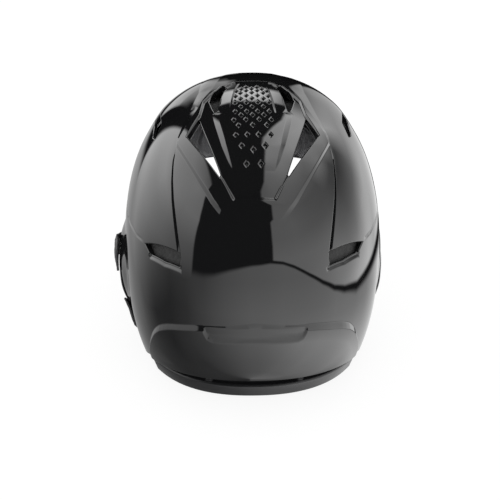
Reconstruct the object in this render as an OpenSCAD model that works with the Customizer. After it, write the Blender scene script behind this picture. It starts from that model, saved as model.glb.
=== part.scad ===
// Batting helmet with a one-sided jaw guard.
// The wearer looks along -Y, +X is the wearer's left, and the rim stands on z = 0.
// Every piece is laid out on one map of the shell: a flat disc round the crown, with
// X to the wearer's left and Y to the back, that skin() lifts onto the dome.

/* [Shell] */
// Half of the shell's width at the belt, above the ears
half_w = 102; // [92:0.5:112]
// Height of the crown above the rim
crown_z = 209; // [195:1:225]
// Crown axis to the back of the head, at the belt
rear_len = 127; // [117:1:137]
// Crown axis to the brow, at the belt
front_len = 139; // [129:1:149]
// Height of the belt, where the shell is widest
belt_z = 84; // [76:1:90]
// Thickness of the shell's wall
wall = 3.2; // [2.6:0.1:4]
// Half of the shell's width at the rim
rim_half_w = 90; // [82:0.5:92]
// Crown axis to the back of the rim
rim_rear = 93; // [86:1:100]
// Crown axis to the front of the flaps' rim curve
rim_front = 128; // [120:1:136]

/* [Edges] */
// Height of the brow edge
brow_z = 101; // [94:1:108]
// Crown axis forward to the front edge of the ear flaps
flap_front = 60; // [52:1:66]
// Crown axis back to where the flaps' bottom edge ends
flap_rear = 24; // [16:1:34]
// Height of the shell's edge at the back
nape_z = 28; // [24:1:32]
// Length of the brim in front of the brow
brim_len = 38; // [30:1:46]
// Half of the arc that the brim takes up, in degrees
brim_arc = 56; // [48:1:60]
// Thickness of the brim
brim_t = 4.4; // [3.6:0.1:6]

/* [Crown frame and vents] */
// Height of the raised frame over the crown
frame_h = 1.9; // [1:0.1:2.6]
// Depth of the sunk panel inside the frame
panel_drop = 2.1; // [1.2:0.1:2.6]
// Height of the spine along the panel
spine_h = 1.5; // [0.8:0.1:2]
// Width across one diamond dimple
dimple_w = 4.6; // [3.4:0.1:5.4]
// Length of a dimple
dimple_l = 8; // [5:0.1:9]
// Depth of a dimple
dimple_d = 1; // [0.5:0.1:1.4]
// Width of the crease that runs down from the frame
crease_w = 4; // [2.5:0.1:5]
// Depth of that crease
crease_d = 1.3; // [0.8:0.1:1.8]
// Extra width of each vent's outer mouth
vent_flare = 1.2; // [0.5:0.1:2]

/* [Back panel and trim] */
// Height of the raised panel at the back of the head
back_h = 2; // [1:0.1:3]
// Depth of the thumb recess in that panel
tab_d = 1.1; // [0.6:0.1:1.6]
// Width of that panel's sloping top edge
back_bevel = 5; // [3:0.5:8]
// Height of the rubber lip under the nape
lip_z = 17; // [13:1:20]
// Thickness of the lip at its foot
lip_t = 8; // [6:0.5:10]

/* [Ear openings] */
// Crown axis forward to the middle of the ear opening
ear_fwd = 6; // [0:1:12]
// Height of the middle of the ear opening
ear_z = 52; // [48:1:60]
// Half of the opening's length
ear_half_l = 19; // [15:0.5:22]
// Half of the opening's height
ear_half_h = 18.5; // [15:0.5:21]
// How far the flap swells outwards round the ear
ear_swell = 4.5; // [2:0.5:7]
// Width of the bezel's flange
bezel_w = 4.5; // [3:0.5:6]
// Thickness of the bezel's flange
bezel_t = 1.5; // [1:0.1:2]

/* [Jaw guard] */
// Thickness of the guard
guard_t = 3; // [2.4:0.1:4]
// Gap that the rubber spacers hold between flap and guard
guard_gap = 1.8; // [1.2:0.1:2.5]
// Crown axis forward to the guard's tip
guard_tip = 142; // [130:1:150]
// Height of the guard's bottom edge
guard_z0 = 3; // [1:0.5:8]
// Height of the guard's upper edge beside the ear
guard_z1 = 89; // [85:1:95]
// Diameter of the guard's screws
screw_d = 5; // [4:0.1:6]
// Clearance round a screw
screw_play = 0.5; // [0.3:0.1:1]

/* [Liner and pads] */
// Thickness of the impact liner
liner_t = 11; // [9:0.5:14]
// Thickness of the comfort pads
pad_t = 9; // [7:0.5:11]
// Thickness of a hook-and-loop disc
disc_t = 1.2; // [0.8:0.1:1.6]
// Diameter of a hook-and-loop disc
disc_d = 20; // [14:1:26]
// Free gap between neighbouring pieces
gap = 0.3; // [0.2:0.05:0.5]

/* [Hidden] */

dome_m = 2.35;       // squareness of the dome in elevation
plan_n = 2.25;       // squareness of the sections in plan
skirt_p = 2.2;       // how late the skirt draws in below the belt
belt_r = 190;        // the belt's radius on the map
skirt_r = 84;        // the skirt's depth on the map
swell_l = 34;        // reach of the ear swelling along Y
swell_h = 33;        // reach of the ear swelling along Z
swell_up = 12;       // height of the swelling's middle over the ear opening's
rear_reach = rear_len + back_h;
crown_y = (front_len + brim_len - rear_reach) / 2;
ear_y = -ear_fwd;
liner_lo = wall + 3 * gap;
liner_hi = liner_lo + liner_t;
disc_sag = disc_d * disc_d / 8 / 80;   // a flat disc's rise in the hollow of the liner
pad_lo = liner_hi + disc_sag + disc_t + 2 * gap;
pad_hi = pad_lo + pad_t;
trim_top = nape_z + 5;                 // height of the lip's hidden upper edge
trim_arc = 56;                         // half of the lip's arc, in degrees
guard_reach = guard_tip * 1.11;        // where the guard's plan curve would close in front

function spow(v, e) = sign(v) * pow(abs(v), e);
function ease(t) = let (c = min(max(t, 0), 1)) c * c * (3 - 2 * c);
function mix(a, b, t) = a + (b - a) * t;
function unit(v) = v / max(norm(v), 1e-9);

// Share of the skirt's draw-in at height z, and the dome's scale at height z
function drawn(z) = z >= belt_z ? 0 : pow((belt_z - z) / belt_z, skirt_p);
function dome(z) = z <= belt_z ? 1
    : pow(1 - pow(min((z - belt_z) / (crown_z - belt_z), 1), dome_m), 1 / dome_m);
function sec_w(z) = half_w * dome(z) - (half_w - rim_half_w) * drawn(z);
function sec_rear(z) = rear_len * dome(z) - (rear_len - rim_rear) * drawn(z);
function sec_front(z) = front_len * dome(z) - (front_len - rim_front) * drawn(z);
function swell(y, z) = let (d = norm([(y - ear_y) / swell_l, (z - ear_z - swell_up) / swell_h]))
    ear_swell * ease((1.25 - d) / 0.6);

// Point of the horizontal section at height z, at angle a from the back, inset inwards
function sec(a, z, inset = 0) =
    let (w = 0.5 + 0.5 * cos(a), len = mix(sec_front(z), sec_rear(z), w) - inset,
         x = (sec_w(z) - inset) * pow(abs(sin(a)), 2 / plan_n), y = len * spow(cos(a), 2 / plan_n))
    [sign(sin(a)) * bulged(x, y, z), y, z];

// Map point to the outer surface, its outward normal, and a point h above it
function map_z(r) = r <= belt_r
    ? belt_z + (crown_z - belt_z) * pow(max(cos(90 * r / belt_r), 0), 2 / dome_m)
    : belt_z * (1 - (r - belt_r) / skirt_r);
function skin(q) = sec(atan2(q[0], q[1]), map_z(norm(q)));
function skin_n(q) = let (e = 0.5, a = skin(q + [e, 0]) - skin(q - [e, 0]),
                          b = skin(q + [0, e]) - skin(q - [0, e])) unit(cross(a, b));
function over(q, h) = skin(q) + h * skin_n(q);
function polar(a, r) = r * [sin(a), cos(a)];
// Map radius of the height z below the belt
function skirt_at(z) = belt_r + skirt_r * (1 - z / belt_z);

// Side of the helmet as x over (y, z), for what is fixed to the ear flaps
function bulged(x, y, z) = x + swell(y, z) * min(max(abs(x) / half_w * 2 - 1, 0), 1);
function side_len(y, z) = let (c = 0.5 + 0.5 * spow(y / (sec_front(z) + sec_rear(z)) * 2, plan_n / 2))
    mix(sec_front(z), sec_rear(z), c);
function side_x(y, z) = let (u = min(abs(y) / side_len(y, z), 1))
    bulged(sec_w(z) * pow(max(1 - pow(u, plan_n), 0), 1 / plan_n), y, z);
function side_n(y, z) = let (e = 0.5)
    unit([1, -(side_x(y + e, z) - side_x(y - e, z)) / (2 * e),
             -(side_x(y, z + e) - side_x(y, z - e)) / (2 * e)]);
function side_over(y, z, h) = [side_x(y, z), y, z] + h * side_n(y, z);

// Closed mesh over two grids of points, the outer one o and the inner one i
function grid_faces(n, m, k) = [for (i = [0 : n - 2]) for (j = [0 : m - 2])
    let (a = i * m + j, b = a + 1, c = a + m, d = c + 1)
    for (t = k == 0 ? [[a, b, c], [b, d, c]] : [[a + k, c + k, b + k], [b + k, c + k, d + k]]) t];
function rim_loop(n, m) = concat([for (j = [0 : m - 1]) j], [for (i = [1 : n - 1]) i * m + m - 1],
    [for (j = [m - 2 : -1 : 0]) (n - 1) * m + j], [for (i = [n - 2 : -1 : 1]) i * m]);
function rim_faces(loop, k) = [for (i = [0 : len(loop) - 1])
    let (a = loop[i], b = loop[(i + 1) % len(loop)]) for (t = [[a, a + k, b], [b, a + k, b + k]]) t];
function flat(g) = [for (r = g) for (p = r) p];
module slab(outer, inner) {
    n = len(outer);
    m = len(outer[0]);
    k = n * m;
    polyhedron(points = concat(flat(outer), flat(inner)),
        faces = concat(grid_faces(n, m, 0), grid_faces(n, m, k), rim_faces(rim_loop(n, m), k)));
}
// A slab on the map: every grid entry is [X, Y, low, high]
module skin_slab(g) {
    slab([for (r = g) [for (e = r) over([e[0], e[1]], e[3])]],
         [for (r = g) [for (e = r) over([e[0], e[1]], e[2])]]);
}
// Convex block between two rings of as many points, a outside and b inside
module prism(a, b) {
    n = len(a);
    hull() polyhedron(points = concat(a, b), faces = concat(
        [[for (i = [0 : n - 1]) i], [for (i = [n - 1 : -1 : 0]) n + i]],
        [for (i = [0 : n - 1]) [(i + 1) % n, i, n + i, n + (i + 1) % n]]));
}
// A straight cut through the wall under a convex outline on the map
module punch(q, flare) {
    mid = [for (k = [0, 1]) [for (p = q) p[k]] * [for (p = q) 1] / len(q)];
    prism([for (p = q) over(p + flare * unit(p - mid), frame_h + 4)], [for (p = q) over(p, -wall - 14)]);
}
module both() {
    children();
    mirror([1, 0, 0]) children();
}
module placed(c) {
    color(c) translate([0, crown_y, 0]) children();
}
// Stands a child's +Z along direction n at point p
module stand(p, n) {
    translate(p) rotate([0, acos(n[2]), atan2(n[1], n[0])]) children();
}

// Outlines on the map, for the wearer's left; the right is the mirror image.
// They are drawn for a belt radius of 190 and follow the map when it changes.
map_k = belt_r / 190;
function on_map(table) = [for (e = table) [map_k * e[0], e[1]]];
vent_top = map_k * [[42, 10], [55, 28], [26, 79], [25, 73]];
vent_fore = map_k * [[34, -7], [28.4, 8.5], [25, 8], [19, -13], [17, -22], [22.5, -24]];
vent_side = map_k * [[85, -6], [92, 8], [99, 1], [97, -28], [88, -33]];
vent_rear = map_k * [[128, 87], [79, 125], [83, 134], [79, 142], [112, 117], [125, 102]];
vent_brow = map_k * [[20, -104], [44, -96], [48, -108], [26, -118]];
frame_edge = map_k * [[-112, 26], [-80, 34], [-50, 39], [-25, 44], [-6, 50], [3, 55], [13, 61], [21, 65],
                      [30, 67], [55, 56], [76, 46.5], [95, 37], [111, 27], [128, 12]];
frame_rise = on_map([[-112, 0], [-70, 1], [100, 1], [128, 0]]);
panel_edge = map_k * [[-28, 12], [-26, 15], [-16, 28], [-6, 38], [8, 42], [27, 55], [78, 25], [97, 16]];
spine_edge = map_k * [[-26, 14], [-14, 21], [8, 29], [25, 27.5], [47, 22.5], [62, 18], [73, 14]];
spine_rise = on_map([[-26, 1], [60, 1], [73, 0.3]]);
crease_run = map_k * [[67, 31], [74.8, 62], [77.4, 79], [77.9, 97], [79, 121]];
flank_run = map_k * [[128, 86], [140, 68], [151, 46], [160, 18], [163, -12], [160, -44]];
// The back panel's top edge, as angle and radius
back_top = [for (e = [[0, 187.2], [17, 189.2], [30, 195], [42, 203.5], [47, 214], [52.5, 235], [58, 252]])
    [e[0], map_k * e[1]]];
// Rows of dimples: Y on the map, then each pair's distance from the middle in mm
dimple_rows = [[-16.3, 4.2], [-13.5, 0, 7.9], [-10.8, 4.3, 11.8], [-7.9, 0, 8.8], [-4.4, 4.3, 12.6],
               [-1.3, 0, 8.8], [2.1, 4.4, 13.1], [6.5, 0, 8.7], [11.8, 4.2, 13], [16, 0, 8.7],
               [21.4, 5.1, 14.2], [27.8, 0, 10.7], [38.3, 4.2, 12.8], [49.4, 8.6], [53.4, 0], [66, 5.4]];
back_arc = 58;       // half of the back panel's arc, in degrees
panel_h = frame_h - panel_drop;   // height of the sunk panel over the dome
edge_half = 190;     // half the width of the cut that trims the shell in side view

// Solid under the outer surface set in by d, closed by a flat floor
module dome_solid(d, n_a, n_r, floor_z) {
    r_end = belt_r + skirt_r * (1 - floor_z / belt_z);
    rings = [for (j = [1 : n_r]) [for (i = [0 : n_a - 1])
        over(polar(360 * i / n_a, r_end * pow(j / n_r, 0.92)), -d)]];
    pts = concat([over([0, 0], -d)], flat(rings));
    side = [for (j = [0 : n_r - 2]) for (i = [0 : n_a - 1])
        let (a = 1 + j * n_a + i, b = 1 + j * n_a + (i + 1) % n_a)
        for (t = [[a, a + n_a, b], [b, a + n_a, b + n_a]]) t];
    cap = [for (i = [0 : n_a - 1]) [0, 1 + i, 1 + (i + 1) % n_a]];
    base = [[for (i = [n_a - 1 : -1 : 0]) 1 + (n_r - 1) * n_a + i]];
    polyhedron(points = pts, faces = concat(cap, side, base));
}
// Side view of the shell: brow, face opening, ear flap, nape
function arc(c, r, a0, a1, n = 6) = [for (i = [0 : n])
    let (a = mix(a0, a1, i / n)) c + r * [cos(a), sin(a)]];
module shell_side() {
    ahead = -front_len - brim_len - 20;
    r_temple = 20;
    r_chin = 16;
    temple = [-flap_front - r_temple, brow_z - r_temple];
    chin = [-flap_front + r_chin, r_chin];
    rotate([90, 0, 90]) linear_extrude(2 * edge_half, center = true)
        polygon(concat([[ahead, crown_z + 20], [ahead, brow_z - 4], [-front_len, brow_z]],
            arc(temple, r_temple, 90, 0), arc(chin, r_chin, 180, 270),
            [[flap_rear, 0], [flap_rear + 16, 5], [rim_rear - 28, 19], [rear_len + 30, nape_z + 2]],
            [[rear_len + 30, crown_z + 20]]));
}
// Grid across the helmet from edge table w(Y), with sloping sides
function cross_grid(y0, y1, step, table, bevel, rise, lo, cols) =
    [for (i = [0 : round((y1 - y0) / step)])
        let (y = mix(y0, y1, i / round((y1 - y0) / step)), w = lookup(y, table),
             h = rise[0] * lookup(y, rise[1]))
        [for (j = [0 : cols])
            let (u = j / cols * 2 - 1, shoulder = abs(u) > 1 - 2.01 / cols && abs(u) < 1,
                 x = shoulder ? sign(u) * (w - bevel) : u * w / (abs(u) < 1 ? 1.12 : 1))
            [-x, y, lo, abs(u) < 1 ? h : -0.4]]];
// Ribbon along a run of map points, w wide, with a profile of [share, low, high]
function along(run, t) = let (k = min(floor(t), len(run) - 2)) mix(run[k], run[k + 1], t - k);
function ribbon(run, w, prof, steps) = [for (i = [0 : steps])
    let (t = i / steps * (len(run) - 1), p = along(run, t),
         d = unit(along(run, min(t + 0.3, len(run) - 1)) - along(run, max(t - 0.3, 0))),
         side = [-d[1], d[0]])
    [for (e = prof) let (q = p + side * w * e[0]) [q[0], q[1], e[1], e[2]]]];
function back_grid(lo) = [for (i = [0 : 30])
    let (a = mix(-back_arc, back_arc, i / 30), top = lookup(abs(a), back_top),
         end = min((back_arc - abs(a)) / 4, 1), bottom = belt_r + skirt_r)
    [for (j = [0 : 5])
        let (r = j == 0 ? top : mix(top + back_bevel, bottom, (j - 1) / 4), q = polar(a, r))
        [q[0], q[1], lo, (j == 0 ? -0.4 : back_h * end - 0.4 * (1 - end))]]];
// Thumb recess in the back panel, with rounded lower corners
module tab_recess() {
    skin_slab([for (i = [0 : 10]) let (u = i / 5 - 1, low = map_k * (205.5 - 5 * pow(abs(u), 6)))
        [for (r = [low, map_k * 192.5])
            let (q = polar(-19 * u, r)) [q[0], q[1], back_h - tab_d, back_h + 4]]]);
}
module brim() {
    root_z = brow_z + brim_t;
    outer = [for (i = [0 : 24])
        let (u = 1 - i / 12, a = 180 - brim_arc * u, root = sec(a, root_z, wall / 2),
             reach = (brim_len + wall / 2) * (1 - pow(abs(u), 2.4)) + wall / 2 + 0.8,
             dir = unit([0.55 * sin(a), -1, 0]))
        [for (t = [0, 0.3, 0.6, 0.92, 1]) root + t * reach * dir
            + [0, 0, 3 * sin(150 * t) - 7 * t * (1 - u * u) - 3 * u * u - (t == 1 ? 1 : 0)]]];
    inner = [for (r = outer) [for (j = [0 : 4]) r[j] - [0, 0, j == 4 ? brim_t - 2 : brim_t]]];
    slab(outer, inner);
}
// Point on the ear opening's outline, grown by g
function ear_ring(a, g) = [ear_y + (ear_half_l + g) * spow(cos(a), 0.8),
                           ear_z + (ear_half_h + g) * spow(sin(a), 0.8)];
module ear_prism(grow, x0, x1) {
    ring = [for (a = [0 : 15 : 345]) ear_ring(a, grow)];
    prism([for (q = ring) [x1, q[0], q[1]]], [for (q = ring) [x0, q[0], q[1]]]);
}
// Straight round hole, and a round cut from height lo to hi, square to the ear flap at s
module screw_cut(s, d, lo, hi) {
    hull() stand(side_over(s[0], s[1], lo), side_n(s[0], s[1])) cylinder(h = hi - lo, d = d, $fn = 24);
}
// Map X of the skin's point that lies x from the middle, at Y
function map_x(x, y, g = 20, n = 8) = n == 0 || x == 0 ? sign(x) * g : let (r = norm([g, y]))
    map_x(x, y, r * pow(min(abs(x) / sec_w(map_z(r)), 1), plan_n / 2), n - 1);
module dimple(x, y) {
    floor_h = spine_h + panel_h - dimple_d;
    long = dimple_l / norm(skin([map_x(x, y), y + 0.5]) - skin([map_x(x, y), y - 0.5]));
    function at(u, v, k) = let (to = y + v * long / 2 * k) [map_x(x + u * dimple_w / 2 * k, to), to];
    corners = [[1, 0], [0, -1], [-1, 0], [0, 1]];
    prism([for (c = corners) over(at(c[0], c[1], 1.1), floor_h + dimple_d + 0.4)],
          [for (c = corners) over(at(c[0], c[1], 0.7), floor_h)]);
}
boss_d = 2.6 * screw_d;       // flat seats round the guard's screws
barrel_d = screw_d + 1.6;
tee_t = 1.4;                  // thickness of a T-nut's flange
seat_out = 0.1;               // height of the outer seat over the flap
seat_in = 0.4 - wall;         // and of the inner one
// Guard screws as [Y, Z] on the ear flap: above, in front of and below the ear opening
guard_screws_at = [[ear_y + 8, ear_z + ear_half_h + 11], [-flap_front + 15, ear_z - 2],
                   [ear_y - 2, ear_z - ear_half_h - 17]];

module dimple_row(row) {
    for (i = [1 : len(row) - 1]) for (side = row[i] == 0 ? [0] : [-1, 1])
        dimple(side * row[i], map_k * row[0]);
}

module shell() {
    placed("#141517") {
        difference() {
            union() {
                intersection() {
                    union() {
                        dome_solid(0, 66, 19, -2);
                        skin_slab(cross_grid(-112 * map_k, 128 * map_k, 10, frame_edge, 4,
                                             [frame_h, frame_rise], -2, 8));
                        skin_slab(back_grid(-2));
                    }
                    shell_side();
                }
                brim();
            }
            intersection() {
                dome_solid(wall, 42, 12, -4);
                translate([0, 0, crown_z / 2 - 10]) cube([300, 400, crown_z + 20], center = true);
            }
            difference() {
                skin_slab(cross_grid(-28 * map_k, 97 * map_k, 9, panel_edge, 1, [6, [[-28, 1], [97, 1]]],
                                     panel_h, 8));
                skin_slab(cross_grid(-26 * map_k, 73 * map_k, 12, spine_edge, 3,
                                     [panel_h + spine_h, spine_rise], -4, 8));
            }
            for (row = dimple_rows) dimple_row(row);
            tab_recess();
            both() {
                punch(vent_top, vent_flare);
                punch(vent_fore, vent_flare);
                punch(vent_side, vent_flare);
                punch(vent_rear, 2 * vent_flare);
                punch(vent_brow, vent_flare);
                skin_slab(ribbon(crease_run, crease_w / 2,
                                 [[-1, 0.6, 3], [0, -crease_d, 3], [1, 0.6, 3]], 8));
                skin_slab(ribbon(flank_run, crease_w / 2,
                                 [[-1, 0.4, 3], [0, -crease_d / 2, 3], [1, 0.4, 3]], 8));
                ear_prism(0, half_w - 30, half_w + 30);
            }
            for (s = guard_screws_at) {
                screw_cut(s, barrel_d + 2 * gap, -wall - 6, 6);
                screw_cut(s, boss_d + 1, seat_out, 7);
                screw_cut(s, boss_d + 1, -wall - 8, seat_in);
            }
        }
    }
}

// A closed profile carried along an open run of stations, rings[i] = profile points
module run_solid(rings) {
    n = len(rings);
    m = len(rings[0]);
    skirt = [for (i = [0 : n - 2]) for (k = [0 : m - 1])
        let (a = i * m + k, b = i * m + (k + 1) % m, c = a + m, d = b + m)
        for (t = [[a, b, c], [b, d, c]]) t];
    polyhedron(points = flat(rings), faces = concat(skirt,
        [[for (k = [m - 1 : -1 : 0]) k], [for (k = [0 : m - 1]) (n - 1) * m + k]]));
}
// The same round a closed loop of stations
module loop_solid(rings) {
    n = len(rings);
    m = len(rings[0]);
    polyhedron(points = flat(rings), faces = [for (i = [0 : n - 1]) for (k = [0 : m - 1])
        let (on = (k + 1) % m, next = (i + 1) % n * m,
             a = i * m + k, b = i * m + on, c = next + k, d = next + on)
        for (t = [[a, b, c], [b, d, c]]) t]);
}
module rear_trim() {
    neck = wall * 1.2 + 2 * gap;
    profile = [[0.8, 0], [lip_t, 0], [lip_t + 1.5, lip_z + 4], [neck + 3, trim_top], [neck, trim_top],
               [neck, lip_z + 0.5], [0.8, lip_z], [0, lip_z - 1.5], [0, 2]];
    placed("#1b1c1e") run_solid([for (i = [0 : 32]) let (a = mix(-trim_arc, trim_arc, i / 32))
        [for (q = profile) sec(a, q[1], q[0])]]);
}
module ear_bezel() {
    mouth = -gap - 2;
    profile = [[mouth, bezel_t], [mouth, -wall - 2], [-gap, -wall - 2], [-gap, 2 * gap],
               [bezel_w, 2 * gap], [bezel_w, bezel_t * 0.5], [bezel_w - 1, bezel_t]];
    placed("#101113") loop_solid([for (a = [0 : 12 : 348]) [for (q = profile)
        let (p = ear_ring(a, q[0])) [side_x(p[0], p[1]) + q[1], p[0], p[1]]]]);
}
module mirrored() {
    mirror([1, 0, 0]) children();
}

// Outer side of the jaw guard: it hugs the flap, then runs on round the cheek
function wide_x(y, z) = let (u = min(abs(y) / guard_reach, 1))
    (sec_w(z) - 3) * pow(1 - pow(u, plan_n), 1 / plan_n);
function guard_x(y, z) = let (a = side_x(y, z), b = wide_x(y, z)) (a + b + norm([a - b, 3])) / 2;
function guard_n(y, z) = let (e = 0.5)
    unit([1, -(guard_x(y + e, z) - guard_x(y - e, z)) / (2 * e),
             -(guard_x(y, z + e) - guard_x(y, z - e)) / (2 * e)]);
function guard_over(y, z, h) = [guard_x(y, z), y, z] + h * guard_n(y, z);
guard_rear = 12;
guard_low = [[-guard_tip, 30], [-guard_tip + 4, 18], [-guard_tip + 14, 9], [-guard_tip + 30, 4],
             [-110, guard_z0], [-6, guard_z0], [4, guard_z0 + 2], [guard_rear, guard_z0 + 10]];
guard_top = [[-guard_tip, 44], [-guard_tip + 4, 55], [-guard_tip + 14, 62], [-110, 64], [-84, 66],
             [-62, 68], [-44, guard_z1 - 19], [-28, guard_z1 - 13], [-14, guard_z1 - 6],
             [-4, guard_z1 - 0.5], [8, guard_z1], [guard_rear, guard_z1 - 5]];
head_d = 2 * screw_d;
head_h = 2.2;
screw_top = guard_gap + guard_t - 0.2;
module face_guard() {
    cols = 24;
    rows = 6;
    grid = [for (i = [0 : cols]) let (y = mix(-guard_tip, guard_rear, i / cols))
        [for (j = [0 : rows]) [y, mix(lookup(y, guard_low), lookup(y, guard_top), j / rows)]]];
    // The ear hole is open to the back, in a notch that widens backwards
    notch = [[ear_y, ear_half_h - 7], [ear_y, 7 - ear_half_h], [guard_rear + 20, 4 - ear_half_h],
             [guard_rear + 20, ear_half_h - 4]];
    placed("#1e1f21") difference() {
        slab([for (r = grid) [for (j = [0 : rows]) guard_over(r[j][0], r[j][1],
                guard_gap + guard_t * (j == 0 || j == rows ? 0.6 : 1))]],
             [for (r = grid) [for (q = r) guard_over(q[0], q[1], guard_gap)]]);
        ear_prism(1.5, half_w - 20, half_w + 30);
        prism([for (q = notch) [half_w + 30, q[0], ear_z + q[1]]],
              [for (q = notch) [half_w - 20, q[0], ear_z + q[1]]]);
        for (s = guard_screws_at) {
            screw_cut(s, screw_d + 2 * screw_play, 0, 12);
            screw_cut(s, head_d + 2 * screw_play, screw_top - head_h, 12);
            screw_cut(s, boss_d + 1, -2, guard_gap + 0.1);
        }
        for (k = [0 : 4]) hull() for (z = [26 + k, 48 - 1.5 * k])
            translate([50, -98 - 8 * k, z]) rotate([0, 90, 0]) cylinder(h = 60, d = 4, $fn = 12);
    }
}
module at_screws(h) {
    for (s = guard_screws_at) stand(side_over(s[0], s[1], h), side_n(s[0], s[1])) children();
}
module guard_spacers() {
    h = guard_gap - seat_out;
    placed("#2a2b2d") at_screws(seat_out) difference() {
        cylinder(h = h, d = boss_d, $fn = 48);
        translate([0, 0, -1]) cylinder(h = h + 2, d = barrel_d + 2 * gap, $fn = 48);
    }
}
module guard_screws() {
    placed("#9a9da1") at_screws(screw_top) {
        difference() {
            translate([0, 0, -head_h]) cylinder(h = head_h, d = head_d, $fn = 48);
            for (a = [0, 90]) rotate(a) cube([screw_d, 1, 2], center = true);
        }
        translate([0, 0, seat_in - screw_top - 1])
            cylinder(h = screw_top - head_h - seat_in + 1.5, d = screw_d - 0.6, $fn = 48);
    }
}
module guard_tee_nuts() {
    placed("#8d9094") at_screws(seat_in - tee_t) difference() {
        union() {
            cylinder(h = tee_t, d = boss_d, $fn = 48);
            cylinder(h = tee_t - seat_in + guard_gap - 0.5, d = barrel_d, $fn = 48);
        }
        translate([0, 0, -1]) cylinder(h = 20, d = screw_d - 0.4, $fn = 48);
    }
}

// A block that lines the shell over a span of the map, [middle, half width] both ways:
// angle and radius, or X and Y when round is false. Its corners are rounded, and full is
// its depth at the edges
function corner(u, v, k) = [u * sqrt(1 - k * v * v / 2), v * sqrt(1 - k * u * u / 2)];
function from_to(a, b) = [(a + b) / 2, (b - a) / 2];
module lining(s, t, round, n, lo, hi, full, k = 0.7) {
    grid = [for (i = [0 : n[0]]) [for (j = [0 : n[1]])
        let (u = 2 * i / n[0] - 1, v = 2 * j / n[1] - 1, e = corner(u, v, k),
             q = [s[0] + s[1] * e[0], t[0] + t[1] * e[1]],
             bulk = full + (1 - full) * sqrt(max((1 - pow(u, 4)) * (1 - pow(v, 4)), 0)))
        concat(round ? polar(q[0], q[1]) : q, [-mix(lo, hi, bulk), -lo])]];
    skin_slab(grid);
}
cloth = "#77797d";
module foam_block(s, t, round, n, k) {
    placed("#2c2d30") lining(s, t, round, n, liner_lo, liner_hi, 0.8, k);
}
module pad(s, t, round, n) {
    placed(cloth) lining(s, t, round, n, pad_lo, pad_hi, 0.35);
}
module liner_crown() { foam_block([0, 17 * map_k], map_k * [-4, 66], false, [5, 12], 0.7); }
module liner_front() { foam_block([180, 52], from_to(96 * map_k, 172 * map_k), true, [14, 5], 0.3); }
module liner_rear() {
    foam_block([0, 57], from_to(130 * map_k, skirt_at(trim_top) - 5), true, [16, 6], 0.3);
}
module liner_side() { foam_block([96, 27], from_to(70 * map_k, 170 * map_k), true, [8, 6], 0.4); }
module liner_left() { liner_side(); }
module liner_right() { mirrored() liner_side(); }

module pad_crown() { pad([0, 14 * map_k], map_k * [-8, 52], false, [6, 14]); }
module pad_brow() { pad([180, 48], from_to(122 * map_k, 174 * map_k), true, [18, 6]); }
module pad_temple() { pad([98, 20], from_to(94 * map_k, 158 * map_k), true, [10, 10]); }
module pad_temple_left() { pad_temple(); }
module pad_temple_right() { mirrored() pad_temple(); }
module pad_rear() { pad([0, 40], from_to(144 * map_k, 184 * map_k), true, [16, 6]); }
module pad_nape() { pad([0, 36], from_to(193 * map_k, 233 * map_k), true, [14, 6]); }

// Ring of padding inside the ear flap, round the ear opening
module ear_pad() {
    lo = wall + 6 * gap;
    deep = liner_t + 3;
    shape = [[0.88, 0], [0.12, 0], [0, 0.2], [0, 0.75], [0.15, 0.95], [0.5, 1], [0.85, 0.95], [1, 0.75],
             [1, 0.25]];
    placed(cloth) loop_solid([for (a = [0 : 12 : 348])
        let (ca = spow(cos(a), 0.7), sa = spow(sin(a), 0.7))
        [for (q = shape) let (
            hole = ear_ring(a, 3),
            rim = [ear_y - 2 + (flap_front - ear_fwd - 6) * ca,
                   ear_z - 2 + (min(ear_z, belt_z - 32) - 8) * sa],
            p = mix(hole, rim, q[0])) [side_x(p[0], p[1]) - mix(lo, lo + deep, q[1]), p[0], p[1]]]]);
}
module ear_pad_left() {
    difference() {
        ear_pad();
        translate([0, crown_y, 0]) for (s = guard_screws_at)
            screw_cut(s, boss_d + 2, seat_in - tee_t - 3 * gap, 0);
    }
}
module ear_pad_right() { mirrored() ear_pad(); }
module ear_bezel_left() { ear_bezel(); }
module ear_bezel_right() { mirrored() ear_bezel(); }

disc_spots = map_k * [[0, 36], [0, -50], polar(180, 146), polar(150, 146), polar(210, 146), polar(98, 112),
                  polar(98, 142), polar(262, 112), polar(262, 142), polar(0, 164), polar(26, 164),
                  polar(334, 164), polar(0, 213), polar(22, 213), polar(338, 213)];
module loop_discs() {
    placed("#3a3b3e") for (q = disc_spots)
        stand(over(q, -(liner_hi + disc_sag + gap)), -skin_n(q))
            cylinder(h = disc_t, d = disc_d, $fn = 48);
}

shell();
rear_trim();
ear_bezel_left();
ear_bezel_right();
face_guard();
guard_spacers();
guard_screws();
guard_tee_nuts();
liner_crown();
liner_front();
liner_rear();
liner_left();
liner_right();
pad_crown();
pad_brow();
pad_temple_left();
pad_temple_right();
pad_rear();
pad_nape();
ear_pad_left();
ear_pad_right();
loop_discs();
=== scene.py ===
# %% [markdown]
# # A gloss batting helmet with a jaw guard
# The frame is the measured model: where every piece sits and how big it is. This file
# gives those pieces their looks. It is read from top to bottom like a notebook: a cell
# of words says what comes next and why, and the cell of code after it makes it.

# %% Load the frame
import math
import bpy
import numpy as np
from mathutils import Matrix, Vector
from mathutils.geometry import delaunay_2d_cdt


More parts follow.
